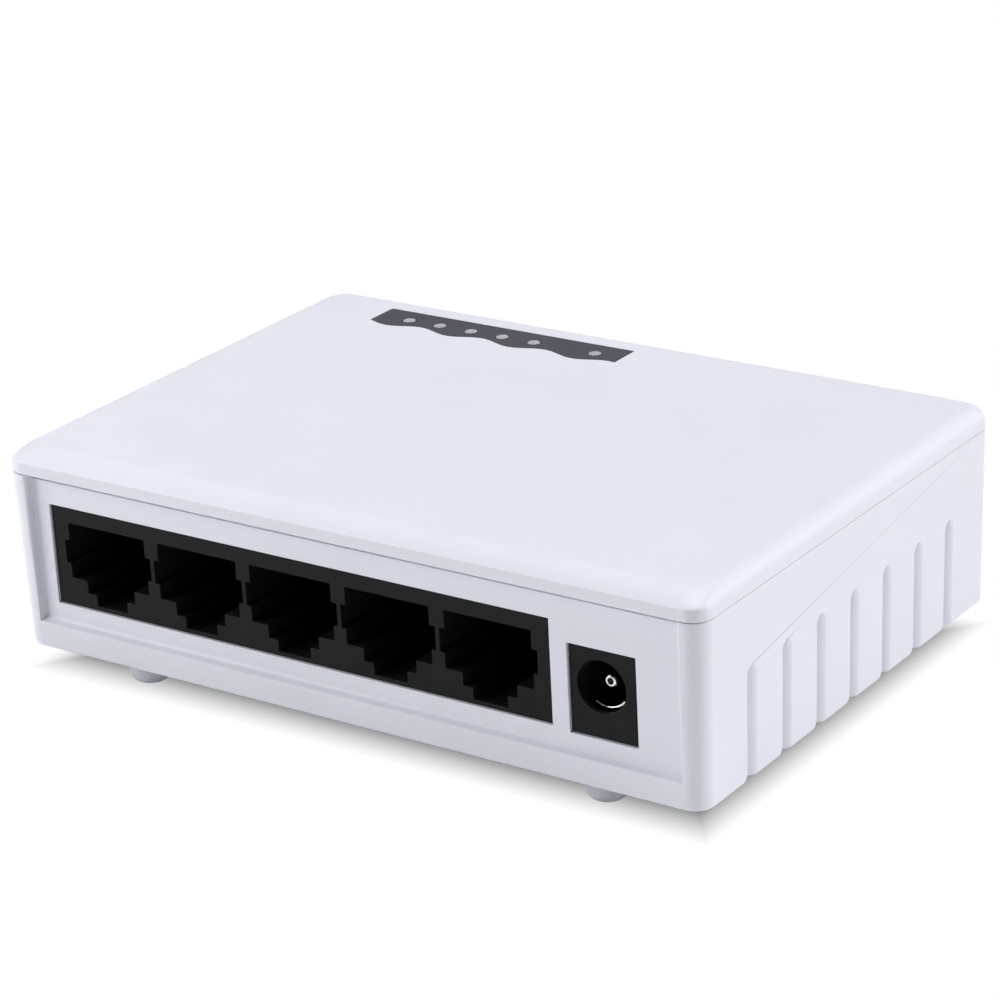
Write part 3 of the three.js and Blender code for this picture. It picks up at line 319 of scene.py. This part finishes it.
def board_ink():
    return moulded_plastic("board_ink", (0.72, 0.73, 0.70), 0.55, 0.1 * MM, 0.003 * MM, 0.05, 1 * MM)


def capacitor_sleeve():
    """Dark shrink sleeve with a paler stripe down the side of the negative lead."""
    material, tree, surface = new_material("capacitor_sleeve")
    dark = mottled(tree, (0.018, 0.022, 0.036), 1.5 * MM, 0.1)
    place = add_node(tree, "ShaderNodeTexCoord").outputs["Generated"]
    middle = add_node(tree, "ShaderNodeVectorMath", {0: place, 1: (0.5, 0.5, 0.0)}, operation="SUBTRACT")
    along = add_node(tree, "ShaderNodeSeparateXYZ", {"Vector": middle.outputs["Vector"]})
    angle = add_node(
        tree, "ShaderNodeMath", {0: along.outputs["Y"], 1: along.outputs["X"]}, operation="ARCTAN2"
    ).outputs[0]
    off = add_node(tree, "ShaderNodeMath", {0: angle, 1: -1.2}, operation="SUBTRACT").outputs[0]
    size = add_node(tree, "ShaderNodeMath", {0: off}, operation="ABSOLUTE").outputs[0]
    stripe = add_node(tree, "ShaderNodeMath", {0: size, 1: 0.42}, operation="LESS_THAN").outputs[0]
    mix = add_node(tree, "ShaderNodeMix", {"Factor": stripe}, data_type="RGBA")
    tree.links.new(dark, mix.inputs[6])
    mix.inputs[7].default_value = (0.42, 0.44, 0.47, 1)
    tree.links.new(mix.outputs[2], surface.inputs["Base Color"])
    tree.links.new(spread(tree, noise(tree, 1.0 * MM), 0.22, 0.34), surface.inputs["Roughness"])
    tree.links.new(bump(tree, noise(tree, 1.4 * MM), 0.02 * MM), surface.inputs["Normal"])
    return material


MATERIALS = {
    "case_white": case_plastic(),
    "foot_rubber": foot_rubber(),
    "label_film": label_film(),
    "light_diffuser": light_diffuser(),
    "jack_black": jack_plastic(),
    "contact_gold": gold_plate(),
    "jack_nickel": nickel_plate(),
    "screw_steel": screw_steel(),
    "board_laminate": board_laminate(),
    "package_epoxy": epoxy(),
    "capacitor_sleeve": capacitor_sleeve(),
    "inductor_ferrite": ferrite(),
    "lamp_body": lamp_body(),
    "tin": tin_plate(),
    "copper": masked_copper(),
    "ink": board_ink(),
}


# ---- CAD nodes: rounded edges and materials ------------------------------------------------


def soften(name):
    """Smooth shading and a small even round on every real edge; the node's points and faces stay."""
    node = NODES[name]
    for attribute in ("custom_normal", "sharp_edge", "sharp_face"):
        if attribute in node.data.attributes:
            node.data.attributes.remove(node.data.attributes[attribute])
    node.data.shade_smooth()
    weld = node.modifiers.new("weld", "WELD")
    weld.merge_threshold = WELD_DISTANCE
    flats = node.modifiers.new("flats", "DECIMATE")
    flats.decimate_type = "DISSOLVE"
    flats.angle_limit = FLAT_ANGLE
    edges = node.modifiers.new("edges", "BEVEL")
    edges.width = EDGE_ROUND.get(name, SMALL_EDGE_ROUND)
    edges.segments = 2
    edges.limit_method = "ANGLE"
    edges.angle_limit = SHARP_ANGLE
    edges.use_clamp_overlap = False
    edges.miter_outer = "MITER_ARC"
    normals = node.modifiers.new("normals", "WEIGHTED_NORMAL")
    normals.keep_sharp = False


def dress_nodes():
    for part in frame["record"]["subparts"]:
        node = NODES[part["node"]]
        node.data.materials.clear()
        node.data.materials.append(MATERIALS[part["material_slot"]])
        soften(part["node"])


# ---- Mesh helpers ---------------------------------------------------------------------------


def piece(name, shape, material, body):
    """A shape as an object that rides on a CAD body."""
    mesh = bpy.data.meshes.new(name)
    shape.to_mesh(mesh)
    shape.free()
    mesh.materials.append(MATERIALS[material])
    made = bpy.data.objects.new(name, mesh)
    scene.collection.objects.link(made)
    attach(made, body)
    return made


def add_ring_wall(shape, rings):
    """Joins a list of equal closed rings of points with faces, and caps both ends."""
    loops = [[shape.verts.new(point) for point in ring] for ring in rings]
    count = len(loops[0])
    for lower, upper in zip(loops, loops[1:]):
        for i in range(count):
            j = (i + 1) % count
            shape.faces.new((lower[i], lower[j], upper[j], upper[i]))
    shape.faces.new(list(reversed(loops[0])))
    shape.faces.new(loops[-1])


def add_block(shape, centre, size, inset, turn):
    """A box with its upper and lower edges drawn in by inset, standing on centre.z."""
    spin = Matrix.Rotation(turn, 3, "Z")
    levels = [(0.0, inset), (inset, 0.0), (size[2] - inset, 0.0), (size[2], inset)]
    rings = []
    for height, draw in levels:
        x, y = size[0] / 2 - draw, size[1] / 2 - draw
        corners = [(-x, -y), (x, -y), (x, y), (-x, y)]
        rings.append([centre + spin @ Vector((a, b, 0)) + Vector((0, 0, height)) for a, b in corners])
    add_ring_wall(shape, rings)


def add_strip(shape, path, width, thickness, across):
    """A flat strip bent along a path; across is the direction of its width."""
    across = across.normalized()
    rings = []
    for i, point in enumerate(path):
        before = path[max(i - 1, 0)]
        after = path[min(i + 1, len(path) - 1)]
        normal = (after - before).normalized().cross(across)
        half, thick = across * width / 2, normal * thickness / 2
        rings.append([point - half - thick, point + half - thick, point + half + thick, point - half + thick])
    add_ring_wall(shape, rings)


def add_tube(shape, path, radius, sides):
    """A round wire along a path in one plane, with slightly drawn-in ends."""
    rings = []
    for i, point in enumerate(path):
        before = path[max(i - 1, 0)]
        after = path[min(i + 1, len(path) - 1)]
        along = (after - before).normalized()
        side = Vector((1, 0, 0)) if abs(along.x) < 0.9 else Vector((0, 1, 0))
        up = along.cross(side).normalized()
        side = up.cross(along)
        size = radius * (0.55 if i in (0, len(path) - 1) else 1.0)
        angles = [2 * math.pi * k / sides for k in range(sides)]
        rings.append([point + (side * math.cos(a) + up * math.sin(a)) * size for a in angles])
    add_ring_wall(shape, rings)


def add_annulus(shape, centre, inner, outer, height, sides):
    """A raised flat ring, such as the plated land round a hole."""
    angles = [2 * math.pi * i / sides for i in range(sides)]
    loops = []
    for radius, z in ((inner, 0.0), (outer, 0.0), (outer, height), (inner, height)):
        ring = [centre + Vector((radius * math.cos(a), radius * math.sin(a), z)) for a in angles]
        loops.append([shape.verts.new(point) for point in ring])
    for lower, upper in zip(loops, loops[1:] + loops[:1]):
        for i in range(sides):
            j = (i + 1) % sides
            shape.faces.new((lower[i], lower[j], upper[j], upper[i]))


def add_turned(shape, centre, profile, sides):
    """A solid of revolution about Z from (radius, height) points, with flat ends."""
    rings = [
        [
            centre + Vector((radius * math.cos(a), radius * math.sin(a), height))
            for a in (2 * math.pi * i / sides for i in range(sides))
        ]
        for radius, height in profile
    ]
    add_ring_wall(shape, rings)


def rounded(made, width):
    edges = made.modifiers.new("edges", "BEVEL")
    edges.width = width
    edges.segments = 2
    edges.limit_method = "ANGLE"
    edges.angle_limit = ADDED_SHARP_ANGLE
    made.data.shade_smooth()
    made.modifiers.new("normals", "WEIGHTED_NORMAL")


def middle(node):
    low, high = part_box(node)
    return (low + high) / 2


# ---- Spring wires in the ports --------------------------------------------------------------


def port_wires(index):
    """Eight round spring wires that start on the hinge line and slope down to the back."""
    low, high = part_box(f"port_{index}_contacts")
    shape = bmesh.new()
    hinge = Vector((0, low.y + WIRE_HINGE_INSET, high.z - WIRE_HINGE_INSET))
    tip = Vector((0, high.y - WIRE_TIP_INSET, low.z + WIRE_HINGE_INSET))
    upturn = Vector((0, 0, WIRE_TIP_UPTURN))
    for k in range(WIRES_PER_PORT):
        across = Vector(((low.x + high.x) / 2 + (k - (WIRES_PER_PORT - 1) / 2) * WIRE_PITCH, 0, 0))
        path = [across + hinge.lerp(tip, share) for share in WIRE_STATIONS]
        path.append(across + tip + upturn)
        add_tube(shape, path, WIRE_RADIUS, WIRE_SIDES)
    made = piece(f"port_{index}_wires", shape, "contact_gold", f"port_{index}_spring")
    made.data.shade_smooth()
    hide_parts(f"port_{index}_contacts")


# ---- Leads ----------------------------------------------------------------------------------


def gull_wing(shape, start, outward, across, height, reach, width, thickness):
    """One bent lead from the side of a package down to its pad."""
    steps = [(-0.15, 1.0), (0.2, 1.0), (0.36, 0.93), (0.46, 0.6), (0.54, 0.22), (0.64, 0.08), (1.0, 0.05)]
    path = [start + outward * reach * along + Vector((0, 0, height * up)) for along, up in steps]
    add_strip(shape, path, width, thickness, across)


def lead_row(shape, node, axis, sign, count, pitch, reach, width, thickness, share=0.42):
    """A row of leads along one side of a package. axis 0 is a side that faces X and 1 one that faces Y."""
    low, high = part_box(node)
    centre = (low + high) / 2
    outward = Vector((sign, 0, 0)) if axis == 0 else Vector((0, sign, 0))
    across = Vector((0, 1, 0)) if axis == 0 else Vector((1, 0, 0))
    edge = (high[axis] - low[axis]) / 2
    for i in range(count):
        start = centre + outward * edge + across * (i - (count - 1) / 2) * pitch
        start.z = low.z
        gull_wing(shape, start, outward, across, (high.z - low.z) * share, reach, width, thickness)


def package_leads():
    shape = bmesh.new()
    for axis in (0, 1):
        for sign in (-1, 1):
            lead_row(
                shape, "switch_chip", axis, sign, CHIP_LEADS, CHIP_LEAD_PITCH, 1.2 * MM, 0.22 * MM, 0.12 * MM
            )
    piece("switch_chip_leads", shape, "tin", "base")
    for number in range(1, MODULE_COUNT + 1):
        shape = bmesh.new()
        for sign in (-1, 1):
            lead_row(
                shape,
                f"magnetics_module_{number}",
                1,
                sign,
                MODULE_LEADS,
                MODULE_LEAD_PITCH,
                1.5 * MM,
                0.42 * MM,
                0.2 * MM,
                0.25,
            )
        piece(f"magnetics_module_{number}_leads", shape, "tin", "base")
    shape = bmesh.new()
    lead_row(shape, "voltage_regulator", 1, -1, 3, 2.3 * MM, 1.5 * MM, 0.7 * MM, 0.25 * MM)
    lead_row(shape, "voltage_regulator", 1, 1, 1, 2.3 * MM, 1.5 * MM, 3.0 * MM, 0.25 * MM)
    lead_row(shape, "input_diode", 0, -1, 1, 1 * MM, 1.0 * MM, 1.5 * MM, 0.2 * MM, 0.5)
    lead_row(shape, "input_diode", 0, 1, 1, 1 * MM, 1.0 * MM, 1.5 * MM, 0.2 * MM, 0.5)
    piece("power_part_leads", shape, "tin", "base")


# ---- Board surface --------------------------------------------------------------------------

BOARD_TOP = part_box("circuit_board")[1].z
TRACK_HEIGHT = 0.035 * MM
SIGNAL_TRACK = 0.2 * MM
POWER_TRACK = 1.4 * MM
PRINTED_LINE = 0.15 * MM
VIA_COUNT = 90
VIA_CLEARANCE = 0.9 * MM


def on_board(x, y, lift=0.0):
    return Vector((x * MM, y * MM, BOARD_TOP + lift))


def add_track(shape, points, width):
    """A flat copper track through points on the board."""
    for a, b in zip(points, points[1:]):
        along = (b - a).normalized()
        side = Vector((-along.y, along.x, 0)) * width / 2
        stretch = along * width * 0.2
        lift = Vector((0, 0, TRACK_HEIGHT))
        base = [a - side - stretch, b - side + stretch, b + side + stretch, a + side - stretch]
        add_ring_wall(shape, [base, [p + lift for p in base]])


def fan_points(x0, y0, x1, y1):
    """Straight, then a slanted run about the middle, 45 degrees where there is room, then straight."""
    shift = abs(x1 - x0)
    gap = y1 - y0
    run = min(shift, abs(gap)) * (1 if gap > 0 else -1)
    centre = (y0 + y1) / 2
    return [(x0, y0), (x0, centre - run / 2), (x1, centre + run / 2), (x1, y1)]


def row(centre, count, pitch):
    return [centre + (i - (count - 1) / 2) * pitch for i in range(count)]


def board_tracks():
    shape = bmesh.new()
    modules = [middle(f"magnetics_module_{n}").x / MM for n in range(1, MODULE_COUNT + 1)]
    module_low, module_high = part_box("magnetics_module_1")
    front, back = module_low.y / MM - 1.2, module_high.y / MM + 1.2
    housing_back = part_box("port_housing")[1].y / MM + 0.2
    ports = [middle(f"port_{n}_insert").x / MM for n in range(1, PORT_COUNT + 1)]
    chip_low, chip_high = (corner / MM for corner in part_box("switch_chip"))
    chip_x = (chip_low.x + chip_high.x) / 2

    sources = [x for port in ports for x in row(port, 4, 1.6)]
    targets = [x for module in modules for x in row(module, 7, 1.8)][: len(sources)]
    lines = [fan_points(a, housing_back, b, front) for a, b in zip(sources, targets)]
    sinks = row(chip_x, 20, 0.5)
    starts = [x for module in modules for x in row(module, 7, 1.8)][:20]
    lines += [fan_points(a, back, b, chip_low.y - 1.0) for a, b in zip(starts, sinks)]
    lamps = [middle(f"link_lamp_{n}").x / MM for n in range(1, PORT_COUNT + 1)]
    lamp_y = middle("link_lamp_1").y / MM - 1.6
    lines += [fan_points(a, chip_high.y + 1.0, b, lamp_y) for a, b in zip(row(chip_x - 2, 5, 1.0), lamps)]
    for line in lines:
        add_track(shape, [on_board(x, y) for x, y in line], SIGNAL_TRACK)

    power = [
        [(30.5, -6.0), (30.5, -1.5), (26.0, 3.0), (24.0, 5.5)],
        [(15.0, 5.5), (11.0, 5.5), (6.5, 10.0)],
        [(19.5, 9.8), (19.5, 12.0)],
        [(30.0, 10.0), (30.0, 15.0), (24.5, 20.5), (10.0, 20.5), (5.5, 16.0)],
        [(36.0, -16.5), (36.0, -12.0), (34.8, -10.8)],
        [(26.0, -10.0), (24.0, -8.0), (24.0, -5.5)],
    ]
    for line in power:
        add_track(shape, [on_board(x, y) for x, y in line], POWER_TRACK)
    piece("board_tracks", shape, "copper", "base")


def near_box(spot, box):
    """Whether a point of the board lies under a part or within the clearance round it."""
    low, high = box
    near_x = low.x - VIA_CLEARANCE < spot.x < high.x + VIA_CLEARANCE
    near_y = low.y - VIA_CLEARANCE < spot.y < high.y + VIA_CLEARANCE
    return near_x and near_y


def board_vias():
    """Small plated holes scattered clear of the tall parts, and lands round the screws."""
    maker = random.Random(7)
    shape = bmesh.new()
    blocked = [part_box(name) for name in NODES if name not in ("base_shell", "top_cover", "circuit_board")]
    placed = 0
    while placed < VIA_COUNT:
        x = maker.uniform(-43.5, 43.5)
        y = maker.uniform(-14.5, 29.0)
        spot = on_board(x, y)
        taken = any(near_box(spot, box) for box in blocked)
        if taken or math.hypot(abs(x) - 42, y) < 6:
            continue
        add_annulus(shape, spot, 0.16 * MM, 0.34 * MM, 0.04 * MM, 12)
        placed += 1
    for side in ("left", "right"):
        centre = middle(f"board_screw_{side}")
        add_annulus(shape, Vector((centre.x, centre.y, BOARD_TOP)), 1.4 * MM, 3.1 * MM, 0.018 * MM, 32)
    piece("board_vias", shape, "tin", "base")


# Small two-ended parts: x, y in millimetres and whether they stand along Y.
RESISTORS = [(-12.8 + 4.95 * (i - 4), 24.2, True) for i in range(5)] + [(-3.4, 24.2, True)]
RESISTORS += [(-37.5 + 2.2 * i, -1.5, True) for i in range(4)]
RESISTORS += [(3.0 + 2.0 * i, -1.5, True) for i in range(4)]
RESISTORS += [(8.5, 16.5, False), (8.5, 18.5, False), (-15.5, 9.0, True), (-23.0, 9.0, True)]
CERAMICS = [(-14.0, 6.5, False), (-14.0, 18.5, False), (6.0, 4.0, False), (6.0, 7.0, False)]
CERAMICS += [(-24.0, 18.5, False), (-24.0, 10.8, False), (13.0, 15.0, True), (25.5, 14.5, True)]
CERAMICS += [(-34.0, 12.0 + 2.0 * i, False) for i in range(4)] + [(36.0, 12.0, True), (34.0, 16.0, True)]


def small_parts(name, places, body_material, size):
    """Chip resistors or capacitors: a body between two plated ends, each end wrapped in solder."""
    length, width, height = (v * MM for v in size)
    bodies, ends = bmesh.new(), bmesh.new()
    for x, y, along_y in places:
        turn = math.pi / 2 if along_y else 0.0
        direction = Vector((math.cos(turn), math.sin(turn), 0))
        add_block(bodies, on_board(x, y, 0.06 * MM), (length * 0.66, width * 0.96, height), 0.03 * MM, turn)
        for sign in (-1, 1):
            cap = on_board(x, y, 0.05 * MM) + direction * sign * length * 0.41
            add_block(ends, cap, (length * 0.19, width, height * 1.05), 0.05 * MM, turn)
            pad = on_board(x, y) + direction * sign * length * 0.5
            add_block(ends, pad, (length * 0.42, width * 1.15, 0.05 * MM), 0.02 * MM, turn)
    piece(name, bodies, body_material, "base")
    piece(f"{name}_ends", ends, "tin", "base")


def board_ink_lines():
    """White printed outlines round the parts that stand on the board."""
    shape = bmesh.new()
    names = ["switch_chip", "crystal_can", "power_inductor", "voltage_regulator", "input_diode"]
    names += [f"magnetics_module_{n}" for n in range(1, MODULE_COUNT + 1)]
    for name in names:
        low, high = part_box(name)
        margin = 0.45 * MM
        gap = 2.4 * MM if name == "switch_chip" else 0.0
        corners = [(low.x - margin, low.y - margin), (high.x + margin, low.y - margin)]
        corners += [(high.x + margin, high.y + margin), (low.x - margin, high.y + margin)]
        points = [Vector((x, y, BOARD_TOP)) for x, y in corners]
        for a, b in zip(points, points[1:] + points[:1]):
            along = (b - a).normalized()
            if gap:
                add_track(shape, [a, a + along * gap], PRINTED_LINE)
                add_track(shape, [b - along * gap, b], PRINTED_LINE)
            else:
                add_track(shape, [a, b], PRINTED_LINE)
    for name in ("input_capacitor", "output_capacitor"):
        low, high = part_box(name)
        centre = (low + high) / 2
        radius = (high.x - low.x) / 2
        ring_centre = Vector((centre.x, centre.y, BOARD_TOP))
        add_annulus(shape, ring_centre, radius + 0.25 * MM, radius + 0.45 * MM, 0.02 * MM, 48)
    piece("board_print", shape, "ink", "base")


# ---- Capacitors -----------------------------------------------------------------------------


def capacitor_top(name):
    """The bare aluminium end of a capacitor, scored with a cross so that it can vent."""
    low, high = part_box(name)
    centre = (low + high) / 2
    radius = (high.x - low.x) / 2 - 0.75 * MM
    shape = bmesh.new()
    top = high.z - 0.03 * MM
    sides = 48
    score = 0.16 * MM
    for quarter in range(4):
        start = math.pi / 2 * quarter
        points = [Vector((score, score, 0))]
        for i in range(sides // 4 + 1):
            angle = math.pi / 2 * i / (sides // 4)
            reach = Vector((radius * math.cos(angle), radius * math.sin(angle), 0))
            points.append(Vector((max(reach.x, score), max(reach.y, score), 0)))
        spin = Matrix.Rotation(start, 3, "Z")
        base = [Vector((centre.x, centre.y, top - 0.22 * MM)) + spin @ p for p in points]
        crown = [Vector((centre.x, centre.y, top)) + spin @ p for p in points]
        add_ring_wall(shape, [base, crown])
    disc = Vector((centre.x, centre.y, top - 0.3 * MM))
    add_turned(shape, disc, [(radius * 0.99, 0.0), (radius * 0.99, 0.16 * MM)], sides)
    made = piece(f"{name}_top", shape, "tin", "base")
    rounded(made, 0.04 * MM)


# ---- Stage, light and camera ----------------------------------------------------------------


def distance_inside(tree):
    """How far a point of the floor lies in from the outline of the case, negative outside it."""
    place = add_node(tree, "ShaderNodeTexCoord").outputs["Object"]
    axes = add_node(tree, "ShaderNodeSeparateXYZ", {"Vector": place})
    depths = []
    for axis, half, gain in (("X", CAD_BOX[1].x, SHADE_SIDES), ("Y", CAD_BOX[1].y, 1.0)):
        offset = add_node(tree, "ShaderNodeMath", {0: axes.outputs[axis]}, operation="ABSOLUTE")
        past = add_node(tree, "ShaderNodeMath", {0: half, 1: offset.outputs[0]}, operation="SUBTRACT")
        depth = add_node(tree, "ShaderNodeMath", {0: past.outputs[0], 1: gain}, operation="MULTIPLY")
        depths.append(depth.outputs[0])
    nearest = add_node(tree, "ShaderNodeMath", {0: depths[0], 1: depths[1]}, operation="MINIMUM")
    return nearest.outputs[0]


def painted_contact_shade(tree):
    """Painted shade for the floor: 1 on open floor, and darker the further under the case."""
    inside = add_node(tree, "ShaderNodeMath", {0: distance_inside(tree), 1: 0.0}, operation="MAXIMUM")
    share = add_node(tree, "ShaderNodeMath", {0: inside.outputs[0], 1: SHADE_REACH}, operation="DIVIDE")
    curve = add_node(tree, "ShaderNodeMath", {0: share.outputs[0], 1: SHADE_CURVE}, operation="POWER")
    loss = add_node(tree, "ShaderNodeMath", {0: curve.outputs[0], 1: SHADE_DEPTH}, operation="MULTIPLY")
    left = add_node(tree, "ShaderNodeMath", {0: 1.0, 1: loss.outputs[0]}, operation="SUBTRACT")
    kept = add_node(tree, "ShaderNodeMath", {0: left.outputs[0], 1: SHADE_DARKEST}, operation="MAXIMUM")
    return kept.outputs[0]


def floor():
    """White paper: clean to the camera but for a painted shade under the case, and matt to all other light.
    """
    shape = bmesh.new()
    bmesh.ops.create_grid(shape, x_segments=1, y_segments=1, size=FLOOR_SIZE / 2)
    mesh = bpy.data.meshes.new("floor")
    shape.to_mesh(mesh)
    shape.free()
    made = bpy.data.objects.new("floor", mesh)
    scene.collection.objects.link(made)
    material, tree, surface = new_material("floor_paper")
    seen = add_node(tree, "ShaderNodeLightPath").outputs["Is Camera Ray"]
    paper = mottled(tree, (0.93, 0.93, 0.93), 60 * MM, 0.006)
    matt = add_node(tree, "ShaderNodeBsdfDiffuse", {"Color": paper})
    # Emission seen only by the camera: white paper with the painted shade under the case.
    paper_and_painted_shade = add_node(tree, "ShaderNodeEmission", {"Strength": painted_contact_shade(tree)})
    shown = add_node(
        tree,
        "ShaderNodeMixShader",
        {0: seen, 1: matt.outputs["BSDF"], 2: paper_and_painted_shade.outputs["Emission"]},
    )
    tree.links.new(shown.outputs["Shader"], tree.nodes["Material Output"].inputs["Surface"])
    tree.nodes.remove(surface)
    mesh.materials.append(material)
    made.location.z = CAD_BOX[0].z


def direction(azimuth, elevation):
    a, e = math.radians(azimuth), math.radians(elevation)
    return Vector((math.sin(a) * math.cos(e), -math.cos(a) * math.cos(e), math.sin(e)))


def softboxes():
    centre = (CAD_BOX[0] + CAD_BOX[1]) / 2
    for name, (azimuth, elevation, distance, size, power) in SOFTBOXES.items():
        light = bpy.data.lights.new(name, "AREA")
        light.shape = "SQUARE"
        light.size = size
        light.energy = power
        made = bpy.data.objects.new(name, light)
        made.location = centre + direction(azimuth, elevation) * distance
        made.rotation_euler = direction(azimuth, elevation).to_track_quat("Z", "Y").to_euler()
        scene.collection.objects.link(made)


def sky():
    """White to the camera, and a dimmer even fill to everything it lights."""
    world = bpy.data.worlds.new("studio")
    scene.world = world
    world.use_nodes = True
    tree = world.node_tree
    background = tree.nodes["Background"]
    seen = add_node(tree, "ShaderNodeLightPath").outputs["Is Camera Ray"]
    level = add_node(tree, "ShaderNodeMapRange", {"Value": seen, "To Min": SKY_LEVEL, "To Max": 1.0})
    background.inputs["Color"].default_value = (1.0, 1.0, 1.0, 1.0)
    tree.links.new(level.outputs["Result"], background.inputs["Strength"])


def camera():
    data = bpy.data.cameras.new("camera")
    data.lens = CAMERA_LENS
    data.sensor_width = CAMERA_SENSOR
    made = bpy.data.objects.new("camera", data)
    scene.collection.objects.link(made)
    back = direction(CAMERA_AZIMUTH, CAMERA_ELEVATION)
    level_right = (-back).cross(Vector((0, 0, 1))).normalized()
    level_up = level_right.cross(-back)
    roll = math.radians(CAMERA_ROLL)
    right = level_right * math.cos(roll) + level_up * math.sin(roll)
    up = level_up * math.cos(roll) - level_right * math.sin(roll)
    turn = Matrix((right, up, back)).transposed().to_4x4()
    aim = (CAD_BOX[0] + CAD_BOX[1]) / 2 + CAMERA_AIM
    made.matrix_world = Matrix.Translation(aim + back * CAMERA_DISTANCE) @ turn
    scene.camera = made


dress_nodes()
for number in range(1, PORT_COUNT + 1):
    port_wires(number)
package_leads()
board_tracks()
board_vias()
small_parts("board_resistors", RESISTORS, "package_epoxy", (1.6, 0.82, 0.45))
small_parts("board_ceramics", CERAMICS, "lamp_body", (1.6, 0.85, 0.8))
board_ink_lines()
capacitor_top("input_capacitor")
capacitor_top("output_capacitor")
floor()
softboxes()
sky()
camera()
scene.view_settings.view_transform = "Standard"
